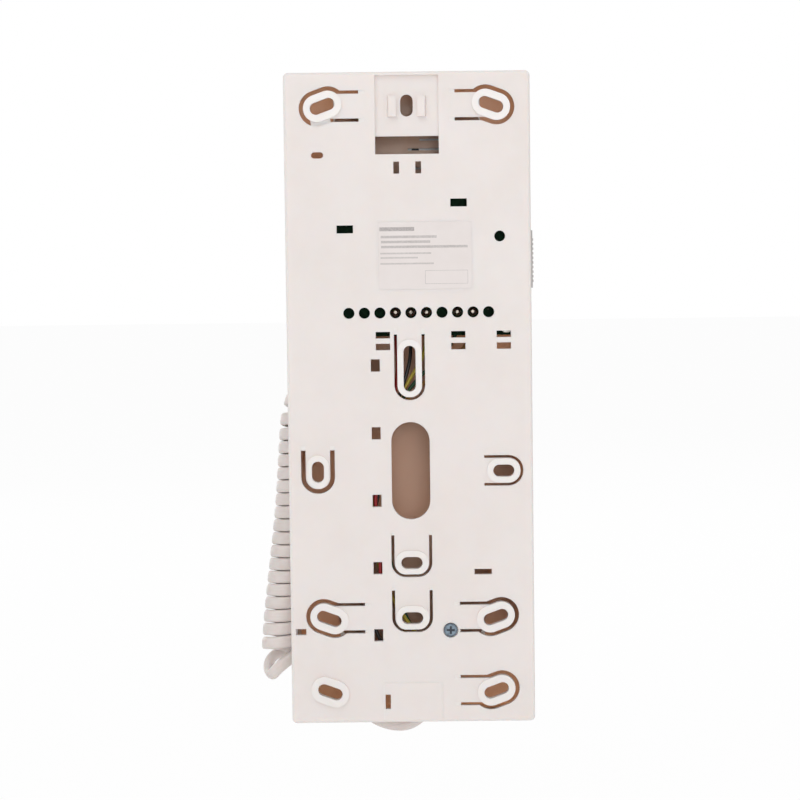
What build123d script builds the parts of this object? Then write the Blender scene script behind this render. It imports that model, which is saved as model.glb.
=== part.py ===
from build123d import *
import math
import os

os.makedirs("parts", exist_ok=True)

# Wall intercom with its handset on the hook. The origin is the centre of the wire window on the
# wall plane, +Z is up, and the handset faces -Y. Every depth is counted from the wall plane.

# Shared clearances
cut_overrun = 0.5
running_gap = 0.3
slip_gap = 0.15

# Wall base, back tray
base_width = 79.0
base_height = 210.5
base_below_window = 82.2
base_corner_radius = 2.5
plate_corner_radius = 1.6
tray_wall = 2.0
back_edge_radius = 1.1
boss_height = 1.0
plate_thickness = 2.0
skirt_height = 5.0
tray_inner_radius = 0.8

base_bottom_z = -base_below_window
base_top_z = base_height - base_below_window
base_mid_z = (base_bottom_z + base_top_z) / 2
plate_back_depth = boss_height
plate_front_depth = plate_back_depth + plate_thickness
seam_depth = plate_front_depth + skirt_height

# Wall base, front cover
cover_height = 17.0
cover_wall = 2.0
cover_front_wall = 2.2
cover_edge_radius = 2.3
cover_inner_radius = 0.8
lip_thickness = 1.0
lip_reach = 1.5
lip_root = 1.5
lip_gap = 0.1
cover_front_depth = seam_depth + cover_height
cover_inner_depth = cover_front_depth - cover_front_wall

# Slanted screw slots on springy tongues, four corners
slot_length = 8.2
slot_width = 3.9
slot_tilt = 20.0
boss_length = 12.5
boss_width = 8.7
corner_slot_inset = 12.5
corner_slot_x = base_width / 2 - corner_slot_inset
top_slot_inset = 10.8
top_slot_z = base_top_z - top_slot_inset
lower_slot_rise = 34.35
lower_slot_z = base_bottom_z + lower_slot_rise
bottom_slot_rise = 10.35
bottom_slot_z = base_bottom_z + bottom_slot_rise
corner_arm_width = 7.9
corner_slit = 1.05
corner_ring_slit = 1.4
corner_hinge_x = 15.4
corner_groove_x = 13.6
hinge_groove_depth = 0.3

# Thin film of plastic left in one slit
flash_side_step = 0.6
flash_centre_x = corner_slot_x + flash_side_step
flash_drop = 4.9
flash_centre_z = top_slot_z - flash_drop
flash_length = 6.4
flash_width = 2.6
flash_thickness = 0.5
flash_tilt = -8.0

# Tongue beside the wire window, upright slot
side_slot_inset = 9.5
side_slot_x = base_width / 2 - side_slot_inset
side_slot_length = 6.8
side_tongue_width = 7.9
side_tongue_slit = 1.5
side_ring_margin = 1.6
side_tongue_hinge = 6.9
side_tongue_tip = 5.6
side_tongue_groove = 1.4

# Tongue on the other side, level slot
level_slot_x = -side_slot_x
level_slot_z = -0.2
level_slot_length = 6.8
level_tongue_width = 8.1
level_tongue_slit = 0.9
level_tongue_hinge = 6.25
level_tongue_tip = 5.45

# Long tongue above the wire window
long_slot_z = 33.1
long_slot_length = 14.8
long_tongue_width = 7.9
long_tongue_slit = 1.0
long_tongue_hinge = 11.0
long_tongue_tip = 9.2
long_tongue_groove = 2.1

# Two tongues below the wire window
short_slot_length = 6.9
short_slot_upper_z = -29.9
short_slot_lower_z = -47.9
short_tongue_width = 11.2
short_tongue_slit = 1.0
short_tongue_hinge = 8.9
short_tongue_tip = 3.7
short_tongue_groove = 1.4
short_tongue_radius = 3.6
ring_margin = 2.0

# Wire window
window_length = 31.6
window_width = 12.4

# Bracket pocket at the top
pocket_width = 20.4
pocket_drop = 20.6
pocket_bottom_z = base_top_z - pocket_drop
pocket_rim = 1.1
pocket_step = 1.6
pocket_floor_thickness = 1.6
pocket_side_wall = 1.6
pocket_window_height = 5.7
pocket_slot_length = 7.0
pocket_slot_width = 4.0
pocket_rib_inner_x = 3.4
pocket_rib_outer_x = 6.3
pocket_rib_slope = 0.5
pocket_rib_drop = 7.8
pocket_rib_length = 6.5
pocket_rib_top_z = base_top_z - pocket_rib_drop
pocket_rib_bottom_z = pocket_rib_top_z - pocket_rib_length
pocket_rib_depth = 0.6
pocket_floor_depth = plate_back_depth + pocket_step
pocket_floor_front = pocket_floor_depth + pocket_floor_thickness
pocket_top_z = base_top_z - pocket_rim
pocket_mid_z = (pocket_bottom_z + pocket_top_z) / 2

# Small windows in the back plate
latch_window_x = 3.525
latch_window_width = 1.85
latch_window_height = 3.85
latch_window_drop = 30.6
latch_window_z = base_top_z - latch_window_drop
key_slot_inset = 10.65
key_slot_x = base_width / 2 - key_slot_inset
key_slot_drop = 26.4
key_slot_z = base_top_z - key_slot_drop
key_slot_length = 3.9
key_slot_width = 2.0
board_window_width = 5.3
board_window_height = 2.55
board_window_inset = 19.2
board_window_left_x = base_width / 2 - board_window_inset
board_window_left_z = 78.1
board_window_right_x = -16.35
board_window_right_z = 86.3
board_hole_inset = 10.05
board_hole_x = board_hole_inset - base_width / 2
board_hole_z = 75.4
board_hole_diameter = 3.5
pin_hole_diameter = 3.6
pin_hole_pitch = 5.0
pin_hole_count = 10
pin_row_first_x = 19.35
pin_row_z = 51.1
pair_window_width = 4.6
pair_window_height = 2.1
pair_window_z = 42.05
pair_window_pitch = 3.8
pair_window_first_x = 8.5
pair_window_second_x = -15.8
pair_window_third_inset = 9.05
pair_window_third_x = pair_window_third_inset - base_width / 2
column_x = 11.05
column_width = 2.9
column_height = 4.0
column_top_z = 34.2
column_pitch = 21.93
column_count = 5
vent_left_inset = 16.45
vent_left_x = vent_left_inset - base_width / 2
vent_left_rise = 14.75
vent_left_z = lower_slot_z + vent_left_rise
vent_left_length = 5.6
vent_left_height = 1.8
vent_right_inset = 3.25
vent_right_x = base_width / 2 - vent_right_inset
vent_right_drop = 4.35
vent_right_z = lower_slot_z - vent_right_drop
vent_right_length = 3.4
vent_right_height = 2.0

# Bottom knock-out panel
panel_width = 19.0
panel_height = 13.4
panel_groove_width = 0.5
panel_groove_depth = 0.25
panel_corner_radius = 1.6
panel_slot_x = 8.25
panel_slot_rise = 6.8
panel_slot_z = base_bottom_z + panel_slot_rise
panel_slot_width = 1.7
panel_slot_height = 4.8

# Plain sticker
label_width = 30.1
label_height = 21.6
label_thickness = 0.15
label_centre_x = -5.4
label_centre_z = 69.5

# Screw that holds the plate to the cover
plate_screw_x = -12.35
plate_screw_rise = 30.1
plate_screw_z = base_bottom_z + plate_screw_rise
plate_screw_head_diameter = 4.4
plate_screw_head_height = 0.9
plate_screw_shank_diameter = 2.6
plate_screw_length = 9.0
plate_screw_recess_diameter = 4.9
plate_screw_recess_depth = 1.0
plate_screw_boss_diameter = 7.0
cross_slot_width = 0.7
cross_slot_length = 2.6
cross_slot_depth = 0.5

# Circuit board
board_side_gap = 2.5
board_width = base_width - 2 * (cover_wall + board_side_gap)
board_bottom_z = 43.4
board_top_z = 92.0
board_thickness = 1.6
board_stand_off = 3.0
board_corner_radius = 1.5
pillar_diameter = 6.0
pillar_bore_diameter = 2.5
pillar_bore_depth = 8.0
pillar_upper_inset = 6.0
pillar_upper_drop = 3.5
pillar_lower_inset = 3.5
pillar_lower_rise = 3.1
pillar_upper_x = board_width / 2 - pillar_upper_inset
pillar_upper_z = board_top_z - pillar_upper_drop
pillar_lower_x = board_width / 2 - pillar_lower_inset
pillar_lower_z = board_bottom_z + pillar_lower_rise
board_screw_head_diameter = 4.6
board_screw_head_height = 1.5
board_screw_shank_diameter = 2.2
board_screw_length = 7.0
board_back_depth = plate_front_depth + board_stand_off
board_front_depth = board_back_depth + board_thickness
board_height = board_top_z - board_bottom_z
board_mid_z = (board_top_z + board_bottom_z) / 2

# Terminal blocks behind the row of pin holes
main_block_first_pin = 3
main_block_poles = 3
door_block_first_pin = 7
door_block_poles = 2
block_height = 9.0
block_depth = 10.0
block_edge = 0.6
wire_port_width = 3.0
wire_port_height = 3.0
wire_port_reach = 6.0
wire_port_rise = 2.0
block_screw_diameter = 3.2
block_screw_length = 4.0
block_screw_sink = 0.6
solder_diameter = 2.8
solder_height = 0.9
solder_tip_diameter = 1.0

# Volume slide switch on the side wall
slider_length = 18.6
slider_width = 6.0
slider_proud = 0.85
slider_mid_z = 67.65
slider_free_below = 2.5
slider_free_above = 1.7
slider_depth = 13.5
slider_window_gap = 0.3
slider_flange_length = 27.4
slider_flange_width = 7.4
slider_flange_thickness = 1.1
slider_stub_width = 2.0
slider_stub_reach = 3.2
slider_stub_height = 2.0
ridge_count = 10
ridge_pitch = 1.49
ridge_height = 0.26
ridge_width = 0.75
ridge_zone_offset = -0.4
volume_switch_width = 6.0
volume_switch_length = 15.0
volume_switch_height = 7.6
volume_switch_side = 0.5

# Call sounder
sounder_x = -7.0
sounder_z = 84.0
sounder_diameter = 13.8
sounder_height = 8.5
sounder_hole_diameter = 2.0
sounder_hole_depth = 1.5

# Sounder grille in the floor of the ear well
grille_x = -8.5
grille_drop = 30.8
grille_z = base_top_z - grille_drop
grille_radius = 10.3
grille_count = 7
grille_pitch = 3.1
grille_slit = 0.65

# Indicator
lens_inset = 6.5
lens_x = base_width / 2 - lens_inset
lens_z = 80.0
lens_diameter = 4.0
lens_proud = 0.3
lens_flange_diameter = 5.6
lens_flange_thickness = 1.2
light_pipe_diameter = 3.0
light_pipe_reach = 8.0
led_diameter = 3.0
led_height = 4.6
led_rim_diameter = 3.6
led_rim_height = 1.0

# Hook switch and plunger
hook_x = 10.0
hook_z = 84.0
hook_switch_width = 12.8
hook_switch_height = 6.0
hook_switch_depth = 6.5
plunger_diameter = 4.0
plunger_flange_diameter = 6.4
plunger_flange_thickness = 0.8
plunger_tip_radius = 0.6
plunger_tip_gap = 0.1
plunger_hole_gap = 0.2

# Door button and its switch
button_inset = 7.5
button_x = base_width / 2 - button_inset
button_z = 62.0
button_width = 9.0
button_height = 22.0
button_proud = 1.0
button_edge_radius = 0.7
button_flange_margin = 0.8
button_flange_thickness = 1.0
button_stem_diameter = 4.0
button_side_gap = 0.3
button_travel = 1.2
door_switch_size = 6.0
door_switch_body_height = 4.0
door_switch_pin_diameter = 3.4
door_switch_pin_height = 0.7

# Other parts on the board
chip_inset = 15.0
chip_x = chip_inset - board_width / 2
chip_z = 70.0
chip_width = 10.0
chip_height = 6.2
chip_depth = 1.6
capacitor_first_x = 16.0
capacitor_second_x = 6.0
capacitor_z = 66.0
capacitor_diameter = 6.3
capacitor_height = 8.0
socket_x = -6.0
socket_z = 62.0
socket_width = 12.6
socket_height = 5.8
socket_depth = 7.0
socket_slot_width = 9.4
socket_slot_height = 2.6
socket_slot_depth = 4.0

# Handset
side_strip_width = 15.5
handset_width = base_width - 2 * side_strip_width
handset_bottom_margin = 18.2
handset_top_margin = 6.3
handset_length = base_height - handset_bottom_margin - handset_top_margin
handset_bottom_z = base_bottom_z + handset_bottom_margin
handset_top_z = handset_bottom_z + handset_length
handset_corner_radius = 12.0
handset_wall = 2.0
finger_gap = 12.6
handset_end_rise = 10.4
handset_crown_rise = 17.9
handset_parting_rise = 7.4
handset_front_radius = 3.0
handset_back_radius = 1.5
block_inset = 2.0
ear_block_width = handset_width - 2 * block_inset
ear_block_height = 42.0
ear_block_drop = 23.0
ear_block_z = handset_top_z - ear_block_drop
mouth_block_width = ear_block_width
mouth_block_height = 38.0
mouth_block_rise = 21.5
mouth_block_z = handset_bottom_z + mouth_block_rise
block_corner_radius = 14.0
block_face_radius = 1.2
block_root = 3.0
well_depth = 4.5
well_floor_thickness = 2.0
well_wall = 1.8
well_side_gap = 1.2
well_bottom_gap = 0.4
well_top_gap = 1.6
block_floor_gap = 0.5

handset_mid_z = handset_bottom_z + handset_length / 2
grip_depth = cover_front_depth + finger_gap
handset_end_depth = grip_depth + handset_end_rise
handset_crown_depth = grip_depth + handset_crown_rise
parting_depth = grip_depth + handset_parting_rise
well_floor_depth = cover_front_depth - well_depth
well_inner_depth = well_floor_depth - well_floor_thickness
block_face_depth = well_floor_depth + block_floor_gap
handset_sag = handset_crown_depth - handset_end_depth
handset_arc_radius = (handset_length ** 2 / 4 + handset_sag ** 2) / (2 * handset_sag)

# Handset inner pieces
post_diameter = 6.0
post_bore_diameter = 2.7
post_upper_drop = 37.0
post_lower_rise = 36.5
post_upper_z = ear_block_z - post_upper_drop
post_lower_z = mouth_block_z + post_lower_rise
handset_screw_head_diameter = 4.8
handset_screw_head_height = 0.9
handset_screw_shank_diameter = 2.4
handset_screw_length = 8.0
handset_screw_recess_diameter = 5.6
handset_screw_recess_depth = 1.0
ear_hole_diameter = 2.4
ear_hole_ring_radius = 5.4
ear_hole_count = 6
gasket_side_room = 5.0
gasket_band = 3.5
gasket_outer_diameter = ear_block_width - 2 * (handset_wall + gasket_side_room)
gasket_inner_diameter = gasket_outer_diameter - 2 * gasket_band
gasket_thickness = 1.0
earpiece_rim_height = 3.0
earpiece_cone_height = 3.0
earpiece_magnet_diameter = 15.0
earpiece_magnet_height = 3.0
mic_drop = 3.5
mic_z = mouth_block_z - mic_drop
mic_diameter = 9.7
mic_height = 4.5
mic_boot_diameter = 12.6
mic_boot_height = 5.6
mic_hole_diameter = 1.6
mic_hole_pitch = 3.0
mic_hole_count = 3

# Strain relief on the lower end of the handset
relief_depth = 42.3
relief_neck_diameter = 4.6
relief_flange_width = 8.0
relief_flange_height = 4.8
relief_flange_thickness = 1.5
relief_outer_diameter = 6.8
relief_tip_diameter = 5.0
relief_length = 6.0

# Cord hood on the front of the base and its boot
hood_centre_x = -9.6
hood_width = 13.0
hood_top_rise = 17.2
hood_height = 6.5
hood_top_z = base_bottom_z + hood_top_rise
hood_bottom_z = hood_top_z - hood_height
hood_rise = 10.4
hood_edge_radius = 2.0
boot_end_x = -8.68
boot_end_drop = 1.2
boot_end_z = hood_bottom_z - boot_end_drop
boot_depth = 30.5
boot_diameter = 6.2
boot_length = 5.8
boot_lean = 14.0
hood_wire_hole_diameter = 5.0

# Cords
cord_diameter = 3.7
inner_wire_diameter = 1.2
base_lead_first_run = 6.2
handset_lead_first_run = 5.7
coil_diameter = 12.0
coil_pitch = 4.26
coil_gap_needed = 0.4
bend_share = 0.45


def corner_radii(points):
    radii = []
    for before, corner, after in zip(points, points[1:], points[2:]):
        run_in = Vector(*corner) - Vector(*before)
        run_out = Vector(*after) - Vector(*corner)
        half_turn = math.radians(run_in.get_angle(run_out)) / 2
        shorter = min(run_in.length, run_out.length)
        radii.append(bend_share * shorter / math.tan(half_turn))
    return radii


def u_slit(tongue_width, slit, hinge, tip, tip_radius):
    # slit round a tongue that hangs from a hinge line above the slot and ends below it
    outer_radius = tip_radius + slit
    outer_width = tongue_width + 2 * slit
    outer_height = hinge + outer_radius + tip + slit
    inner_height = hinge + outer_radius + tip
    with BuildSketch() as slit_face:
        with Locations((0, hinge + outer_radius - outer_height / 2)):
            RectangleRounded(outer_width, outer_height, outer_radius)
        with Locations((0, hinge + outer_radius - inner_height / 2)):
            RectangleRounded(tongue_width, inner_height, tip_radius, mode=Mode.SUBTRACT)
        with Locations((0, hinge + outer_radius)):
            Rectangle(2 * outer_width, 2 * outer_radius, mode=Mode.SUBTRACT)
        with Locations((0, hinge + outer_radius / 2)):
            Rectangle(tongue_width, outer_radius * 2, mode=Mode.SUBTRACT)
    return slit_face.sketch


side_slit_face = u_slit(
    side_tongue_width,
    side_tongue_slit,
    side_tongue_hinge,
    side_tongue_tip,
    side_tongue_width / 2 - slip_gap,
)
level_slit_face = u_slit(
    level_tongue_width,
    level_tongue_slit,
    level_tongue_hinge,
    level_tongue_tip,
    level_tongue_width / 2 - slip_gap,
)
long_slit_face = u_slit(
    long_tongue_width,
    long_tongue_slit,
    long_tongue_hinge,
    long_tongue_tip,
    long_tongue_width / 2 - slip_gap,
)
short_slit_face = u_slit(
    short_tongue_width,
    short_tongue_slit,
    short_tongue_hinge,
    short_tongue_tip,
    short_tongue_radius,
)

# Side of the base, height and tilt of each slanted slot
slanted_slots = [
    (1, top_slot_z, -slot_tilt),
    (-1, top_slot_z, slot_tilt),
    (1, lower_slot_z, slot_tilt),
    (-1, lower_slot_z, -slot_tilt),
    (1, bottom_slot_z, slot_tilt),
    (-1, bottom_slot_z, -slot_tilt),
]
# The slot at the bottom of the +X side sits on a fixed boss without a tongue
tongued_slots = [slot for slot in slanted_slots if slot[:2] != (1, bottom_slot_z)]
corner_arm_length = corner_slot_x - corner_hinge_x
corner_arm_mid_x = (corner_slot_x + corner_hinge_x) / 2
corner_groove_length = corner_hinge_x - corner_groove_x
corner_groove_mid_x = (corner_hinge_x + corner_groove_x) / 2
corner_groove_rise = (corner_arm_width + corner_slit) / 2

with BuildPart() as back_plate:
    with BuildSketch(Plane.XZ.offset(plate_back_depth)):
        with Locations((0, base_mid_z)):
            RectangleRounded(base_width, base_height, plate_corner_radius)
    extrude(amount=plate_thickness + skirt_height)
    fillet(back_plate.faces().sort_by(Axis.Y)[-1].edges(), back_edge_radius)
    with BuildSketch(Plane.XZ.offset(plate_front_depth)):
        with Locations((0, base_mid_z)):
            RectangleRounded(
                base_width - 2 * tray_wall,
                base_height - 2 * tray_wall,
                tray_inner_radius,
            )
    extrude(amount=skirt_height + cut_overrun, mode=Mode.SUBTRACT)
    # thicker floor behind the bracket pocket
    with BuildSketch(Plane.XZ.offset(plate_front_depth)):
        with Locations((0, pocket_mid_z)):
            Rectangle(
                pocket_width + 2 * pocket_side_wall,
                pocket_top_z - pocket_bottom_z,
            )
    extrude(amount=pocket_floor_front - plate_front_depth)
    # raised bosses round every screw slot
    with BuildSketch(Plane.XZ):
        for side, slot_z, tilt in slanted_slots:
            with Locations(Location((side * corner_slot_x, slot_z, 0), (0, 0, tilt))):
                SlotOverall(boss_length, boss_width)
        with Locations((side_slot_x, 0)):
            SlotOverall(
                side_slot_length + 2 * ring_margin,
                slot_width + 2 * side_ring_margin,
                rotation=90,
            )
        with Locations((level_slot_x, level_slot_z)):
            SlotOverall(level_slot_length + 2 * ring_margin, slot_width + 2 * ring_margin)
        with Locations((0, long_slot_z)):
            SlotOverall(
                long_slot_length + 2 * ring_margin,
                slot_width + 2 * ring_margin,
                rotation=90,
            )
        with Locations((0, short_slot_upper_z), (0, short_slot_lower_z)):
            SlotOverall(short_slot_length + 2 * ring_margin, slot_width + 2 * ring_margin)
    extrude(amount=plate_front_depth)
    # bracket pocket
    with BuildSketch(Plane.XZ.offset(-cut_overrun)):
        with Locations((0, pocket_mid_z)):
            Rectangle(pocket_width, pocket_top_z - pocket_bottom_z)
    extrude(amount=pocket_floor_depth + cut_overrun, mode=Mode.SUBTRACT)
    # two ribs beside the slot of the pocket, upright inside and sloped outside
    with BuildSketch(Plane.XY.offset(pocket_rib_bottom_z)):
        with BuildLine():
            Polyline(
                (pocket_rib_inner_x, -pocket_floor_depth - cut_overrun),
                (pocket_rib_inner_x, -pocket_rib_depth),
                (pocket_rib_outer_x - pocket_rib_slope, -pocket_rib_depth),
                (pocket_rib_outer_x, -pocket_floor_depth),
                (pocket_rib_outer_x, -pocket_floor_depth - cut_overrun),
                close=True,
            )
        make_face()
        mirror(about=Plane.YZ)
    extrude(amount=pocket_rib_top_z - pocket_rib_bottom_z)
    # slits round the tongues, and the faint grooves beyond their hinges
    with BuildSketch(Plane.XZ.offset(-cut_overrun)):
        for side, slot_z, tilt in tongued_slots:
            with Locations(Location((side * corner_slot_x, slot_z, 0), (0, 0, tilt))):
                SlotOverall(
                    boss_length + 2 * corner_ring_slit,
                    boss_width + 2 * corner_ring_slit,
                )
            with Locations((side * corner_arm_mid_x, slot_z)):
                Rectangle(corner_arm_length, corner_arm_width + 2 * corner_slit)
        for side, slot_z, tilt in tongued_slots:
            with Locations(Location((side * corner_slot_x, slot_z, 0), (0, 0, tilt))):
                SlotOverall(boss_length, boss_width, mode=Mode.SUBTRACT)
            with Locations((side * (corner_arm_mid_x - cut_overrun), slot_z)):
                Rectangle(
                    corner_arm_length + 2 * cut_overrun,
                    corner_arm_width,
                    mode=Mode.SUBTRACT,
                )
        with Locations((side_slot_x, 0)):
            add(side_slit_face)
        with Locations(Location((level_slot_x, level_slot_z, 0), (0, 0, -90))):
            add(level_slit_face)
        with Locations((0, long_slot_z)):
            add(long_slit_face)
        with Locations((0, short_slot_upper_z), (0, short_slot_lower_z)):
            add(short_slit_face)
    extrude(amount=plate_front_depth + 2 * cut_overrun, mode=Mode.SUBTRACT)
    with BuildSketch(Plane.XZ.offset(plate_back_depth)):
        for side, slot_z, tilt in tongued_slots:
            with Locations((side * corner_groove_mid_x, slot_z)):
                with GridLocations(0, 2 * corner_groove_rise, 1, 2):
                    Rectangle(corner_groove_length, corner_slit)
        with Locations((side_slot_x, side_tongue_hinge + side_tongue_groove / 2)):
            with GridLocations(side_tongue_width + side_tongue_slit, 0, 2, 1):
                Rectangle(side_tongue_slit, side_tongue_groove)
        with Locations((0, long_slot_z + long_tongue_hinge + long_tongue_groove / 2)):
            with GridLocations(long_tongue_width + long_tongue_slit, 0, 2, 1):
                Rectangle(long_tongue_slit, long_tongue_groove)
        for short_z in (short_slot_upper_z, short_slot_lower_z):
            with Locations((0, short_z + short_tongue_hinge + short_tongue_groove / 2)):
                with GridLocations(short_tongue_width + short_tongue_slit, 0, 2, 1):
                    Rectangle(short_tongue_slit, short_tongue_groove)
    extrude(amount=hinge_groove_depth, mode=Mode.SUBTRACT)
    # every hole that goes through the plate
    with BuildSketch(Plane.XZ.offset(-cut_overrun)):
        for side, slot_z, tilt in slanted_slots:
            with Locations(Location((side * corner_slot_x, slot_z, 0), (0, 0, tilt))):
                SlotOverall(slot_length, slot_width)
        with Locations((side_slot_x, 0)):
            SlotOverall(side_slot_length, slot_width, rotation=90)
        with Locations((level_slot_x, level_slot_z)):
            SlotOverall(level_slot_length, slot_width)
        with Locations((0, long_slot_z)):
            SlotOverall(long_slot_length, slot_width, rotation=90)
        with Locations((0, short_slot_upper_z), (0, short_slot_lower_z)):
            SlotOverall(short_slot_length, slot_width)
        SlotOverall(window_length, window_width, rotation=90)
        with Locations((latch_window_x, latch_window_z), (-latch_window_x, latch_window_z)):
            Rectangle(latch_window_width, latch_window_height)
        with Locations((key_slot_x, key_slot_z)):
            SlotOverall(key_slot_length, key_slot_width)
        with Locations(
            (board_window_left_x, board_window_left_z),
            (board_window_right_x, board_window_right_z),
        ):
            Rectangle(board_window_width, board_window_height)
        with Locations((board_hole_x, board_hole_z)):
            Circle(board_hole_diameter / 2)
        for pin in range(pin_hole_count):
            with Locations((pin_row_first_x - pin * pin_hole_pitch, pin_row_z)):
                Circle(pin_hole_diameter / 2)
        for pair_x in (pair_window_first_x, pair_window_second_x, pair_window_third_x):
            with Locations((pair_x, pair_window_z)):
                with GridLocations(0, pair_window_pitch, 1, 2):
                    Rectangle(pair_window_width, pair_window_height)
        for step in range(column_count):
            with Locations((column_x, column_top_z - step * column_pitch)):
                Rectangle(column_width, column_height)
        with Locations((vent_left_x, vent_left_z)):
            Rectangle(vent_left_length, vent_left_height)
        with Locations((vent_right_x, vent_right_z)):
            Rectangle(vent_right_length, vent_right_height)
        with Locations((panel_slot_x, panel_slot_z)):
            Rectangle(panel_slot_width, panel_slot_height)
        with Locations((plate_screw_x, plate_screw_z)):
            Circle(plate_screw_shank_diameter / 2 + slip_gap)
    extrude(amount=plate_front_depth + 2 * cut_overrun, mode=Mode.SUBTRACT)
    with BuildSketch(Plane.XZ.offset(-cut_overrun)):
        with Locations((0, top_slot_z)):
            SlotOverall(pocket_slot_length, pocket_slot_width, rotation=90)
        with Locations((0, pocket_bottom_z - pocket_window_height / 2)):
            Rectangle(pocket_width, pocket_window_height)
    extrude(amount=pocket_floor_front + 2 * cut_overrun, mode=Mode.SUBTRACT)
    # recess for the screw head
    with BuildSketch(Plane.XZ.offset(plate_back_depth)):
        with Locations((plate_screw_x, plate_screw_z)):
            Circle(plate_screw_recess_diameter / 2)
    extrude(amount=plate_screw_recess_depth, mode=Mode.SUBTRACT)
    # outline of the knock-out panel at the lower edge
    with BuildSketch(Plane.XZ.offset(plate_back_depth)):
        with Locations((0, base_bottom_z + panel_height / 2 - panel_corner_radius)):
            RectangleRounded(
                panel_width + panel_groove_width,
                panel_height + 2 * panel_corner_radius,
                panel_corner_radius,
            )
            RectangleRounded(
                panel_width - panel_groove_width,
                panel_height + 2 * panel_corner_radius - 2 * panel_groove_width,
                panel_corner_radius - panel_groove_width,
                mode=Mode.SUBTRACT,
            )
        with Locations((0, base_bottom_z)):
            Rectangle(2 * panel_width, 2 * back_edge_radius, mode=Mode.SUBTRACT)
    extrude(amount=panel_groove_depth, mode=Mode.SUBTRACT)
    # film of plastic across one slit
    with BuildSketch(Plane.XZ.offset(plate_back_depth + flash_thickness)):
        with Locations(Location((flash_centre_x, flash_centre_z, 0), (0, 0, flash_tilt))):
            Rectangle(flash_length, flash_width)
    extrude(amount=flash_thickness)
back_plate.part.label = "back_plate"
export_step(back_plate.part, "parts/back_plate.step")

with BuildPart() as back_label:
    with BuildSketch(Plane.XZ.offset(plate_back_depth - label_thickness)):
        with Locations((label_centre_x, label_centre_z)):
            Rectangle(label_width, label_height)
    extrude(amount=label_thickness)
back_label.part.label = "back_label"
export_step(back_label.part, "parts/back_label.step")

plate_screw_seat = plate_back_depth + plate_screw_recess_depth

with BuildPart() as plate_screw:
    with BuildSketch(Plane.XZ.offset(plate_screw_seat - plate_screw_head_height)):
        with Locations((plate_screw_x, plate_screw_z)):
            Circle(plate_screw_head_diameter / 2)
    extrude(amount=plate_screw_head_height)
    with BuildSketch(Plane.XZ.offset(plate_screw_seat)):
        with Locations((plate_screw_x, plate_screw_z)):
            Circle(plate_screw_shank_diameter / 2)
    extrude(amount=plate_screw_length)
    with BuildSketch(Plane.XZ.offset(plate_screw_seat - plate_screw_head_height)):
        with Locations((plate_screw_x, plate_screw_z)):
            Rectangle(cross_slot_length, cross_slot_width)
            Rectangle(cross_slot_width, cross_slot_length)
    extrude(amount=cross_slot_depth, mode=Mode.SUBTRACT)
plate_screw.part.label = "plate_screw"
export_step(plate_screw.part, "parts/plate_screw.step")

# Wells in the cover that take the two blocks of the handset
well_lift = (well_top_gap - well_bottom_gap) / 2
well_height_gain = well_top_gap + well_bottom_gap
well_radius = block_corner_radius + well_side_gap
wells = [
    (ear_block_width, ear_block_height, ear_block_z),
    (mouth_block_width, mouth_block_height, mouth_block_z),
]
pillar_places = [
    (pillar_upper_x, pillar_upper_z),
    (-pillar_upper_x, pillar_upper_z),
    (pillar_lower_x, pillar_lower_z),
    (-pillar_lower_x, pillar_lower_z),
]
slider_window_length = slider_length + slider_free_below + slider_free_above
slider_window_mid_z = slider_mid_z + (slider_free_above - slider_free_below) / 2
hood_front_depth = cover_front_depth + hood_rise
hood_mid_z = (hood_top_z + hood_bottom_z) / 2
lean_sine = math.sin(math.radians(boot_lean))
lean_cosine = math.cos(math.radians(boot_lean))
boot_end = Vector(boot_end_x, -boot_depth, boot_end_z)
boot_way = Vector(lean_sine, 0, -lean_cosine)
boot_start = boot_end - boot_way * boot_length
boot_plane = Plane(origin=boot_start, x_dir=(0, 1, 0), z_dir=boot_way)

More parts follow.
